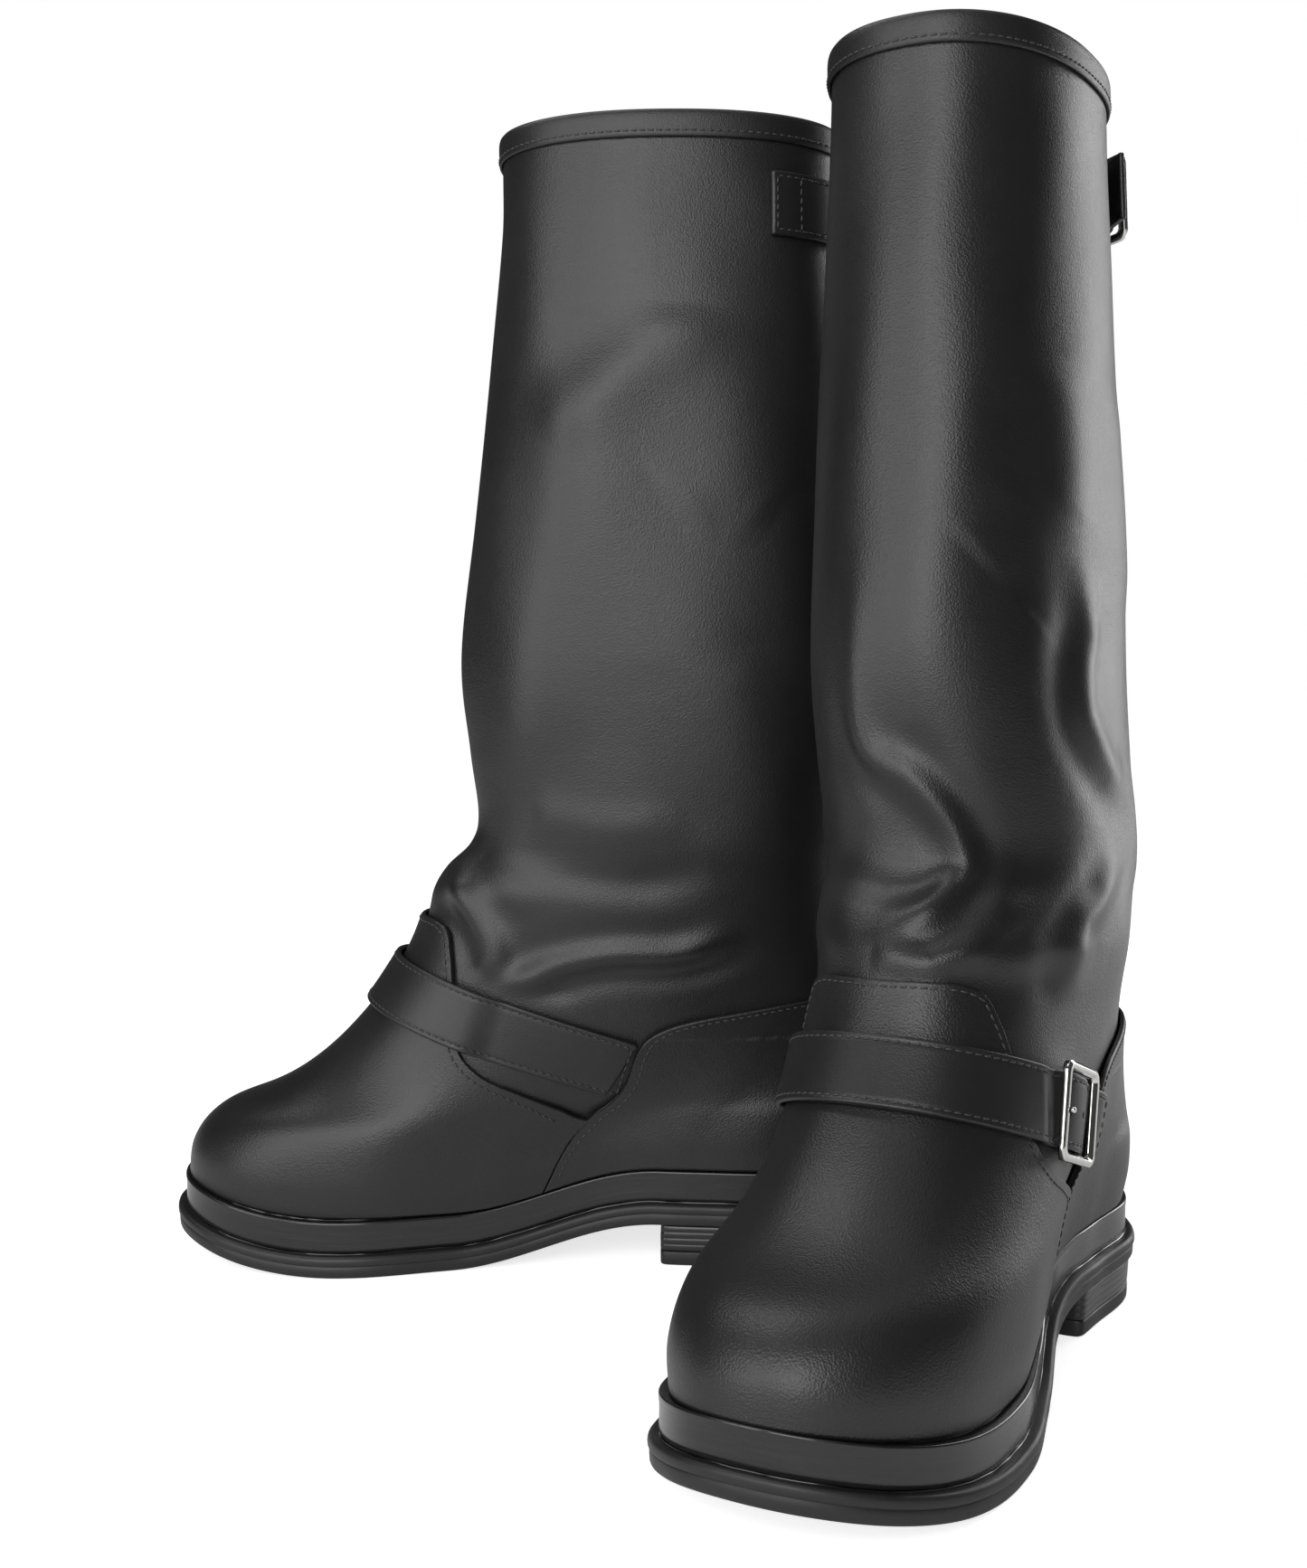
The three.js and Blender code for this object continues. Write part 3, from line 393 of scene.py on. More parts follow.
def fold_height(side, theta, z):
    """The folds' height at an angle round the upper and a height over the floor."""
    if side not in FOLD_MAPS:
        table = fold_map(side)
        table[0] = table[-1] = (table[0] + table[-1]) / 2
        FOLD_MAPS[side] = table
    table = FOLD_MAPS[side]
    degrees = np.degrees(np.arctan2(np.sin(theta), np.cos(theta)))
    u = np.clip((degrees + 180) / 360 * 480, 0, 479.999)
    v = np.clip((z - 90) / 350 * 450, 0, 449.999)
    i, j = u.astype(int), v.astype(int)
    a, b = u - i, v - j
    low = table[i, j] * (1 - b) + table[i, j + 1] * b
    high = table[i + 1, j] * (1 - b) + table[i + 1, j + 1] * b
    return (low * (1 - a) + high * a) * (z > 90)


class Boot:
    """One boot's place, and the way from its last to the row's frame."""

    def __init__(self, name, side, turn, x, y):
        self.name, self.side = name, side
        self.turn = math.radians(turn)
        self.at = np.array([x, y, 0.0])
        self.body = name + "_boot"

    def place(self, points):
        p = np.asarray(points, float) * [1, self.side, 1]
        c, s = math.cos(self.turn), math.sin(self.turn)
        turned = np.stack([c * p[..., 0] - s * p[..., 1], s * p[..., 0] + c * p[..., 1], p[..., 2]], -1)
        return (turned + self.at) * MM

    def folded(self, s, theta, distance):
        """A point off the upper's face, folds included."""
        s, theta = np.broadcast_arrays(np.asarray(s, float), np.asarray(theta, float))
        p = face(s, theta)
        lift = np.asarray(distance, float) + fold_height(self.name, theta, p[..., 2])
        return p + normal(s, theta) * lift[..., None]


BOOTS = (
    Boot("left", 1, -119.7, 168.6457, 87.7772),
    Boot("right", -1, -181.0, 96.6457, 106.3772),
)


# ---------------------------------------------------------------- meshes
def make_mesh(boot, name, points, faces, material, uv=None, ride=True):
    """A named mesh of the boot, from points of its last and faces that look outwards."""
    p = np.asarray(points, float).reshape(-1, 3)
    mesh = bpy.data.meshes.new(boot.name + "_" + name)
    if boot.side < 0:
        faces = [f[::-1] for f in faces] if isinstance(faces, list) else faces[:, ::-1]
    if isinstance(faces, list):
        mesh.from_pydata(boot.place(p).tolist(), [], faces)
    else:
        mesh.vertices.add(len(p))
        mesh.vertices.foreach_set("co", boot.place(p).astype(np.float32).ravel())
        mesh.loops.add(faces.size)
        mesh.loops.foreach_set("vertex_index", faces.ravel().astype(np.int32))
        mesh.polygons.add(len(faces))
        mesh.polygons.foreach_set("loop_start", np.arange(0, faces.size, faces.shape[1], dtype=np.int32))
        mesh.update(calc_edges=True)
    if uv is not None:
        layer = mesh.uv_layers.new(name="UVMap")
        index = np.empty(len(mesh.loops), np.int32)
        mesh.loops.foreach_get("vertex_index", index)
        layer.data.foreach_set("uv", np.asarray(uv, np.float32).reshape(-1, 2)[index].ravel())
    mesh.validate()
    mesh.polygons.foreach_set("use_smooth", np.ones(len(mesh.polygons), bool))
    obj = bpy.data.objects.new(mesh.name, mesh)
    bpy.context.scene.collection.objects.link(obj)
    mesh.materials.append(material)
    if ride:
        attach(obj, boot.body)
    return obj


def face_outwards(obj):
    """Turns the faces of each closed shell of a piece outwards."""
    form = bmesh.new()
    form.from_mesh(obj.data)
    bmesh.ops.recalc_face_normals(form, faces=form.faces)
    form.to_mesh(obj.data)
    form.free()


def quads(rows, columns, close_rows=False, close_columns=False, start=0):
    """Faces of a grid of points laid out row after row."""
    i = np.arange(rows if close_rows else rows - 1)
    j = np.arange(columns if close_columns else columns - 1)
    i, j = np.meshgrid(i, j, indexing="ij")
    at = lambda a, b: start + (a % rows) * columns + (b % columns)
    return np.stack([at(i, j), at(i, j + 1), at(i + 1, j + 1), at(i + 1, j)], -1).reshape(-1, 4)


def shell(boot, name, section, material, closed_round, **more):
    """A piece whose sections are closed loops. section is (stations, points of a loop, 3)."""
    stations, loop = section.shape[:2]
    faces = quads(stations, loop, close_rows=closed_round, close_columns=True)
    points = section.reshape(-1, 3)
    if not closed_round:
        ends = []
        half = loop // 2
        for base, flip in ((0, False), ((stations - 1) * loop, True)):
            k = np.arange(half - 1)
            cap = np.stack([base + k, base + loop - 1 - k, base + loop - 2 - k, base + k + 1], -1)
            ends.append(cap[:, ::-1] if flip else cap)
        faces = np.vstack([faces, *ends])
    return make_mesh(boot, name, points, faces, material, **more)


def rounded_loop(half_width, thickness, radius, across):
    """A strap's cross-section: (crossways, lift) points from the under side round to the upper side."""
    w = np.linspace(-1, 1, across)
    w = np.sign(w) * np.abs(w) ** 0.75 * (half_width - radius)
    arc = np.linspace(-90, 90, 7)[1:-1]
    r = min(radius, thickness / 2)
    right = [
        (half_width - radius + radius * math.cos(a), thickness / 2 + r * math.sin(a))
        for a in map(math.radians, arc)
    ]
    under = [(x, 0.0) for x in w]
    over = [(x, thickness) for x in w[::-1]]
    left = [(-x, z) for x, z in right[::-1]]
    return np.array(under + right + over + left)


# ---------------------------------------------------------------- stitching
STITCH_SINK = 0.06
STITCH_TILT = 0.07
SEAM_IN = 1.9


def stitches(boot, name, paths, material):
    """Threads along paths. Each path is (points, normals) on the finished surface, in millimetres."""
    sizes = bpy.context.scene.boot_sizes
    pitch = sizes.stitch_pitch / MM
    length, radius = sizes.stitch_length / MM, sizes.thread / MM
    rings, sides = 7, 6
    a = np.linspace(0, np.pi, rings)[:, None]
    b = np.linspace(0, 2 * np.pi, sides, endpoint=False)[None, :]
    thick = np.sin(a) ** 0.55
    form = np.stack([
        np.broadcast_to(-np.cos(a) * length / 2, (rings, sides)),
        radius * 1.15 * thick * np.cos(b),
        radius * thick * np.sin(b) - 0.16 * (np.cos(a) ** 4) * radius / 0.27,
    ], -1).reshape(-1, 3)
    base = quads(rings, sides, close_columns=True)
    points, faces = [], []
    count = 0
    for path, normals in paths:
        far = np.r_[0, np.cumsum(np.linalg.norm(np.diff(path, axis=0), axis=1))]
        number = max(2, int(far[-1] / pitch))
        at = (np.arange(number) + 0.5) * far[-1] / number
        lerp = lambda q, d: np.stack([np.interp(d, far, q[:, k]) for k in range(3)], -1)
        centre = lerp(path, at)
        along = unit(lerp(path, at + 0.4) - lerp(path, at - 0.4))
        n = unit(lerp(normals, at))
        n = unit(n - along * np.sum(n * along, -1, keepdims=True))
        side = np.cross(n, along)
        centre = centre + n * (radius * 0.55 - STITCH_SINK)
        along = unit(along + side * STITCH_TILT)
        side = np.cross(n, along)
        p = (centre[:, None] + along[:, None] * form[None, :, :1] + side[:, None] * form[None, :, 1:2]
             + n[:, None] * form[None, :, 2:])
        points.append(p.reshape(-1, 3))
        for k in range(number):
            faces.append(base + count + k * len(form))
        count += number * len(form)
    return make_mesh(boot, name, np.vstack(points), np.vstack(faces), material)


# ---------------------------------------------------------------- material nodes
def new_material(name, roughness=0.5, metallic=0.0, coat=0.0, coat_roughness=0.1, specular=0.5):
    material = bpy.data.materials.new(name)
    material.use_nodes = True
    shader = material.node_tree.nodes["Principled BSDF"]
    shader.inputs["Roughness"].default_value = roughness
    shader.inputs["Metallic"].default_value = metallic
    shader.inputs["Coat Weight"].default_value = coat
    shader.inputs["Coat Roughness"].default_value = coat_roughness
    shader.inputs["Specular IOR Level"].default_value = specular
    return material, shader


def tint(colour, share):
    return tuple(c * share for c in colour)


class Nodes:
    """Short ways to add nodes to one material."""

    def __init__(self, material):
        self.tree = material.node_tree
        self.place = self.add("ShaderNodeTexCoord").outputs["Object"]

    def add(self, kind, **values):
        node = self.tree.nodes.new(kind)
        for key, value in values.items():
            setattr(node, key, value)
        return node

    def link(self, a, b):
        self.tree.links.new(a, b)

    def scaled(self, scale, source=None):
        node = self.add("ShaderNodeMapping")
        node.inputs["Scale"].default_value = scale
        self.link(source or self.place, node.inputs["Vector"])
        return node.outputs["Vector"]

    def noise(self, scale, detail=3.0, rough=0.5, vector=None):
        node = self.add("ShaderNodeTexNoise")
        node.inputs["Scale"].default_value = scale
        node.inputs["Detail"].default_value = detail
        node.inputs["Roughness"].default_value = rough
        self.link(vector or self.place, node.inputs["Vector"])
        return node.outputs["Fac"]

    def cells(self, scale, feature="F1", vector=None):
        node = self.add("ShaderNodeTexVoronoi", feature=feature)
        node.inputs["Scale"].default_value = scale
        self.link(vector or self.place, node.inputs["Vector"])
        return node.outputs["Distance"]

    def span(self, source, low, high, a=0.0, b=1.0):
        node = self.add("ShaderNodeMapRange")
        for key, value in (("From Min", low), ("From Max", high), ("To Min", a), ("To Max", b)):
            node.inputs[key].default_value = value
        self.link(source, node.inputs["Value"])
        return node.outputs["Result"]

    def mix(self, source, a, b):
        node = self.add("ShaderNodeMix", data_type="RGBA")
        node.inputs["A"].default_value = (*a, 1)
        node.inputs["B"].default_value = (*b, 1)
        self.link(source, node.inputs["Factor"])
        return node.outputs["Result"]

    def sum(self, a, b, share):
        node = self.add("ShaderNodeMath", operation="MULTIPLY_ADD")
        self.link(b, node.inputs[0])
        node.inputs[1].default_value = share
        self.link(a, node.inputs[2])
        return node.outputs[0]

    def bump(self, height, distance, strength, shader):
        node = self.add("ShaderNodeBump")
        node.inputs["Distance"].default_value = distance
        node.inputs["Strength"].default_value = strength
        self.link(height, node.inputs["Height"])
        self.link(node.outputs["Normal"], shader.inputs["Normal"])


def leather_material(name, colour, roughness, grain=0.5, scale=1500.0):
    """Smooth calf: pebbled grain, pores, and patches that took the polish differently."""
    material, shader = new_material(name, roughness, specular=0.55)
    n = Nodes(material)
    patches = n.noise(14.0, 4.0, 0.6)
    dark = tint(colour, 0.8)
    pale = tint(colour, 1.3)
    n.link(n.mix(n.span(patches, 0.3, 0.7), dark, pale), shader.inputs["Base Color"])
    n.link(n.span(n.sum(patches, n.noise(420.0, 2.0), 0.4), 0.4, 1.0, roughness - 0.035, roughness + 0.05),
           shader.inputs["Roughness"])
    pebbles = n.cells(scale)
    pores = n.noise(scale * 1.7, 2.0, 0.6)
    wide = n.noise(130.0, 3.0, 0.55)
    height = n.sum(n.sum(pebbles, pores, 0.55), wide, 0.9)
    n.bump(height, 0.00016, grain, shader)
    return material


def lining_material(colour):
    material, shader = new_material("lining_leather", 0.62)
    n = Nodes(material)
    blotches = n.noise(30.0, 4.0)
    n.link(n.mix(blotches, tint(colour, 0.7), tint(colour, 1.35)), shader.inputs["Base Color"])
    n.bump(n.sum(n.cells(900.0), n.noise(240.0), 0.8), 0.0002, 0.4, shader)
    return material


def polished_edge_material(name, colour, roughness, streak_scale, coat=0.6):
    """Burnished edge: waxed, with streaks that run along it."""
    material, shader = new_material(name, roughness, coat=coat, coat_roughness=0.12)
    n = Nodes(material)
    uv = n.add("ShaderNodeUVMap", uv_map="UVMap").outputs["UV"]
    streaks = n.noise(1.0, 5.0, 0.65, n.scaled(streak_scale, uv))
    fine = n.noise(1.0, 3.0, 0.6, n.scaled(tint(streak_scale, 2.7), uv))
    both = n.sum(streaks, fine, 0.4)
    n.link(n.mix(n.span(both, 0.45, 0.95), tint(colour, 0.55), tint(colour, 1.35)),
           shader.inputs["Base Color"])
    n.link(n.span(both, 0.4, 1.0, roughness - 0.06, roughness + 0.12), shader.inputs["Roughness"])
    n.bump(both, 0.00015, 0.25, shader)
    return material


def rubber_material(name, colour, roughness):
    material, shader = new_material(name, roughness)
    n = Nodes(material)
    specks = n.noise(900.0, 3.0, 0.6)
    n.link(n.mix(specks, tint(colour, 0.75), tint(colour, 1.4)), shader.inputs["Base Color"])
    worn = n.span(n.noise(60.0, 3.0), 0.3, 0.7, roughness - 0.05, roughness + 0.07)
    n.link(worn, shader.inputs["Roughness"])
    n.bump(specks, 0.00012, 0.3, shader)
    return material


def thread_material(colour):
    material, shader = new_material("waxed_thread", 0.42)
    n = Nodes(material)
    wave = n.add("ShaderNodeTexWave", wave_type="BANDS", bands_direction="DIAGONAL")
    wave.inputs["Scale"].default_value = 900.0
    n.link(n.place, wave.inputs["Vector"])
    n.link(n.mix(wave.outputs["Fac"], tint(colour, 0.7), tint(colour, 1.5)),
           shader.inputs["Base Color"])
    n.bump(wave.outputs["Fac"], 0.00008, 0.5, shader)
    return material


def metal_material(colour):
    material, shader = new_material("polished_nickel", 0.09, metallic=1.0)
    n = Nodes(material)
    smudges = n.noise(260.0, 4.0, 0.6)
    n.link(n.mix(smudges, tint(colour, 0.9), colour), shader.inputs["Base Color"])
    n.link(n.span(smudges, 0.3, 0.75, 0.06, 0.17), shader.inputs["Roughness"])
    n.bump(n.noise(700.0, 2.0), 0.00005, 0.08, shader)
    return material


def plain_material(name, colour, roughness, scale, metallic=0.0):
    material, shader = new_material(name, roughness, metallic=metallic)
    n = Nodes(material)
    grain = n.noise(scale, 5.0, 0.65)
    n.link(n.mix(grain, tint(colour, 0.6), tuple(min(1, c * 1.3) for c in colour)),
           shader.inputs["Base Color"])
    n.bump(n.sum(grain, n.cells(scale * 1.4), 0.5), 0.0003, 0.4, shader)
    return material


MADE = {}


def materials():
    """The boots' materials, made once."""
    if MADE:
        return MADE
    finish = bpy.context.scene.boot_finish
    leather = tuple(finish.leather)
    sole = tuple(finish.sole)
    gloss = finish.leather_gloss
    glue, shader = new_material("edge_cement", 0.16, coat=0.5, coat_roughness=0.08)
    n = Nodes(glue)
    n.link(n.mix(n.noise(500.0), tint(sole, 0.6), tint(sole, 1.5)), shader.inputs["Base Color"])
    MADE.update(
        upper=leather_material("boot_leather", leather, gloss),
        strap=leather_material("belt_leather", tint(leather, 1.1), gloss + 0.02, 0.3, 1700.0),
        binding=leather_material("edge_leather", tint(leather, 0.95), gloss + 0.03, 0.4, 1900.0),
        lining=lining_material(tuple(finish.lining)),
        thread=thread_material(tuple(finish.thread)),
        metal=metal_material(tuple(finish.metal)),
        outsole=rubber_material("sole_rubber", sole, 0.46),
        midsole=polished_edge_material("midsole_edge", sole, 0.22, (26.0, 700.0, 1.0), 0.3),
        heel=polished_edge_material("heel_edge", sole, 0.3, (40.0, 1500.0, 1.0), 0.3),
        cement=glue,
        cork=plain_material("pressed_cork", (0.36, 0.2, 0.09), 0.8, 420.0),
        board=plain_material("leather_board", (0.3, 0.19, 0.11), 0.7, 300.0),
        stiffener=plain_material("fibre_board", (0.2, 0.17, 0.13), 0.75, 350.0),
        steel=plain_material("spring_steel", (0.42, 0.42, 0.43), 0.35, 200.0, 1.0),
    )
    return MADE


# ---------------------------------------------------------------- uppers
def edge_round(distance, radius=0.8, thickness=LEATHER):
    """How far a rounded edge has risen at a distance in from it."""
    t = np.clip(distance / radius, 0, 1)
    return thickness * (np.sqrt(np.clip(1 - (1 - t) ** 2, 0, 1)) - 1)


def pattern(points):
    """A seam's (degrees, height) points as a fine smooth line, in millimetres of flat leather."""
    return closed_curve(np.asarray(points, float) * [ROUND, 1], closed=False, fine=24)


def inside_line(points, inset):
    """The seam line moved inwards over the piece, left of its direction, as (degrees, height)."""
    fine, _ = by_length(pattern(points), 500)
    d = unit(np.gradient(fine, axis=0))
    moved = fine + np.stack([d[:, 1], -d[:, 0]], -1) * inset
    return moved / [ROUND, 1]


def vamp_columns(count):
    """Edge points of the vamp, (degrees, height), evenly spaced from the inner to the outer side."""
    edge, _ = by_length(pattern(VAMP_EDGE), count // 2 + 1)
    edge = edge / [ROUND, 1]
    return np.vstack([edge[::-1] * [-1, 1], edge[1:]])


def counter_columns(count):
    edge, _ = by_length(pattern(COUNTER_EDGE), count // 2 + 1)
    edge = edge / [ROUND, 1]
    return np.vstack([edge, (edge[::-1] * [-1, 1] + [360, 0])[1:]])


def overlay_sheet(boot, name, low_degrees, edge, rows, material):
    """A leather piece lasted over the upper, from the sole up to its cut edge."""
    t = np.linspace(0, 1, rows)
    t = 1 - (1 - t) ** 2.2
    s_edge = slice_of(edge[:, 1])
    s = t[:, None] * s_edge[None]
    theta = np.radians(low_degrees[None] + (edge[:, 0] - low_degrees)[None] * t[:, None])
    flat = face(s, theta)
    to_edge = np.linalg.norm(flat - flat[-1:], axis=-1)
    outer = boot.folded(s, theta, OVERLAY + LEATHER + edge_round(to_edge, 0.8, 0.9))
    inner = boot.folded(s, theta, OVERLAY)
    # a loop for each column: down the outer side, up the inner side
    loop = np.concatenate([outer[::-1], inner], 0).transpose(1, 0, 2)
    return shell(boot, name, loop, material, closed_round=False)


def make_shaft(boot, material):
    rows, columns = 330, 420
    theta = np.linspace(0, 2 * np.pi, columns, endpoint=False)
    degrees = np.abs(np.degrees(np.arctan2(np.sin(theta), np.cos(theta))))
    vamp = np.interp(degrees, VAMP_EDGE[:, 0], VAMP_EDGE[:, 1])
    counter = np.interp(degrees, COUNTER_TOP[:, 0], COUNTER_TOP[:, 1])
    foot = np.where(degrees < 97, vamp, counter)
    foot = np.maximum(52, np.convolve(np.r_[foot[-6:], foot, foot[:6]], np.ones(13) / 13, "valid") - 9)
    t = np.linspace(0, 1, rows)[:, None]
    z = foot[None] + (SHAFT_HEIGHT - 0.6 - foot[None]) * t
    s = slice_of(z)
    around = np.broadcast_to(theta[None], s.shape)
    outer = boot.folded(s, around, 0.0)
    inner = boot.folded(s, around, -LEATHER)
    loop = np.concatenate([outer[::-1], inner], 0).transpose(1, 0, 2)
    shaft = shell(boot, "shaft_leather", loop, material, closed_round=True)
    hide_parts(boot.name + "_shaft")
    return shaft


def make_lining(boot, material):
    rows, columns = 150, 220
    theta = np.linspace(0, 2 * np.pi, columns, endpoint=False)
    heights = np.linspace(SLICE_HEIGHTS[0], SHAFT_HEIGHT - 0.6, rows)
    s = np.broadcast_to(slice_of(heights)[:, None], (rows, columns))
    around = np.broadcast_to(theta[None], s.shape)
    outer = boot.folded(s, around, -LEATHER - 1.2)
    inner = boot.folded(s, around, -LEATHER - 2.2)
    loop = np.concatenate([outer[::-1], inner], 0).transpose(1, 0, 2)
    lining = shell(boot, "lining_leather", loop, material, closed_round=True)
    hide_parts(boot.name + "_shaft_lining")
    return lining


def make_binding(boot, material, thread):
    columns = 360
    theta = np.linspace(0, 2 * np.pi, columns, endpoint=False)
    low = slice_of(SHAFT_HEIGHT - 9.5)
    top = slice_of(SHAFT_HEIGHT - 0.6)
    inner = -LEATHER - 2.2 - GAP
    plan = [  # slice share, distance off the face, rise
        (0, 0.35, 0), (0, 1.0, -0.15), (0.03, 1.35, 0), (0.1, 1.5, 0), (0.2, 1.42, 0),
        (0.3, 1.45, 0), (0.5, 1.55, 0), (0.7, 1.58, 0), (0.88, 1.5, 0.2), (0.97, 1.25, 0.5),
        (1, 0.7, 0.95), (1, -0.3, 1.35), (1, -1.6, 1.55), (1, -2.9, 1.4), (1, -4.0, 0.95),
        (0.97, -4.75, 0.5), (0.85, -5.1, 0.2), (0.6, -5.15, 0), (0.3, -5.1, 0), (0.08, -5.05, 0),
        (0, -4.85, 0), (0, -4.3, 0), (0.1, inner, 0), (0.6, inner, 0), (1, inner, 0.3),
        (1, 0.45, 0.3), (0.6, 0.35, 0),
    ]
    loop = []
    for share, distance, rise in plan:
        p = boot.folded(low + (top - low) * share, theta, np.full(columns, distance))
        p[..., 2] += rise
        loop.append(p)
    ring = np.stack(loop[::-1], 1)
    binding = shell(boot, "binding", ring, material, closed_round=True)
    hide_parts(boot.name + "_top_binding")
    around = np.linspace(0, 2 * np.pi, 720)
    s = np.full(720, low + (top - low) * 0.19)
    path = boot.folded(s, around, np.full(720, 1.42))
    stitches(boot, "binding_stitches", [(path, normal(s, around))], thread)
    inside = boot.folded(s, around, np.full(720, -5.1))
    stitches(boot, "binding_inner_stitches", [(inside, -normal(s, around))], thread)


def seam_path(boot, line, lift):
    """A path over the finished surface along (degrees, height) points."""
    s = slice_of(line[:, 1])
    theta = np.radians(line[:, 0])
    return boot.folded(s, theta, np.full(len(line), lift)), normal(s, theta)


def make_vamp(boot, material, thread):
    edge = vamp_columns(440)
    low = 96.7 * np.linspace(-1, 1, len(edge))
    vamp = overlay_sheet(boot, "vamp_leather", low, edge, 150, material)
    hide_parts(boot.name + "_vamp")
    half = inside_line(VAMP_EDGE, SEAM_IN)
    half = half[(half[:, 1] > 62) & (half[:, 0] > 0.5)]
    if half[0, 0] > half[-1, 0]:
        half = half[::-1]
    line = np.vstack([half[::-1] * [-1, 1], half])
    stitches(boot, "vamp_stitches", [seam_path(boot, line, OVERLAY + LEATHER)], thread)


def make_counter(boot, material, thread):
    edge = counter_columns(300)
    low = np.linspace(97.1, 262.9, len(edge))
    counter = overlay_sheet(boot, "counter_leather", low, edge, 90, material)
    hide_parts(boot.name + "_heel_counter")
    paths = []
    for sign in (-1, 1):
        line = inside_line(np.vstack([COUNTER_FRONT, COUNTER_EDGE]), SEAM_IN) * [sign, 1]
        line = line[line[:, 1] > 43]
        paths.append(seam_path(boot, line, OVERLAY + LEATHER))
    stitches(boot, "counter_stitches", paths, thread)


# ---------------------------------------------------------------- straps
class Track:
    """A line round the upper that a strap follows, level across or tilted."""

    def __init__(self, boot, height, start, end, count=900):
        self.boot = boot
        theta = np.radians(np.linspace(start, end, count))
        a = np.full(count, 1.5)
        b = np.full(count, float(LAST_SLICE))
        for _ in range(40):
            middle = (a + b) / 2
            p = face(middle, theta)
            low = p[:, 2] < height(p[:, 0])
            a = np.where(low, middle, a)
            b = np.where(low, b, middle)
        self.s, self.theta = (a + b) / 2, theta
        self.p = face(self.s, theta)
        self.far = np.r_[0, np.cumsum(np.linalg.norm(np.diff(self.p, axis=0), axis=1))]
        self.n = normal(self.s, theta)
        wide = max(8, count // 60)
        ahead = np.clip(np.arange(count) + wide, 0, count - 1)
        back = np.clip(np.arange(count) - wide, 0, count - 1)
        d = self.p[ahead] - self.p[back]
        self.d = unit(d - self.n * np.sum(d * self.n, -1, keepdims=True))
        self.across = np.cross(self.n, self.d)

    def at(self, distance):
        pick = lambda q: np.stack([np.interp(distance, self.far, q[:, k]) for k in range(3)], -1)
        s = np.interp(distance, self.far, self.s)
        theta = np.interp(distance, self.far, self.theta)
        n = unit(pick(self.n))
        d = pick(self.d)
        d = unit(d - n * np.sum(d * n, -1, keepdims=True))
        return s, theta, pick(self.p), n, d, np.cross(n, d)

    def surface(self, distance, width, lift):
        """Points off the face at distances along the track and crossways of it."""
        distance, width, lift = np.broadcast_arrays(distance, width, lift)
        s, theta, p, n, d, across = self.at(distance.ravel())
        target = p + across * width.reshape(-1, 1)
        for _ in range(4):
            q = face(s, theta)
            ds = (face(s + 0.02, theta) - q) / 0.02
            dt = (face(s, theta + 0.01) - q) / 0.01
            r = target - q
            aa, ab, bb = (np.sum(x * y, -1) for x, y in ((ds, ds), (ds, dt), (dt, dt)))
            ar, br = np.sum(ds * r, -1), np.sum(dt * r, -1)
            det = aa * bb - ab * ab
            s = s + (ar * bb - br * ab) / det
            theta = theta + (aa * br - ab * ar) / det
        nn = normal(s, theta)
        out = face(s, theta) + nn * lift.reshape(-1, 1)
        return out.reshape(*distance.shape, 3), nn.reshape(*distance.shape, 3)

    def where_x(self, x):
        front = np.flatnonzero(self.theta <= 0)[-1]
        return self.far[front + np.flatnonzero(self.p[front:, 0] < x)[0]]


BAR = 3.6
BUCKLE = 31.0
PIN_HEIGHT = 2.85
BAR_BOTTOM = 5.75
BAR_TOP = BAR_BOTTOM + 2.4
HOLE = -8.9
HOLE_PITCH = 11.2


def arch(d):
    return np.maximum(1.9, 5.25 - 0.0192 * d * d)


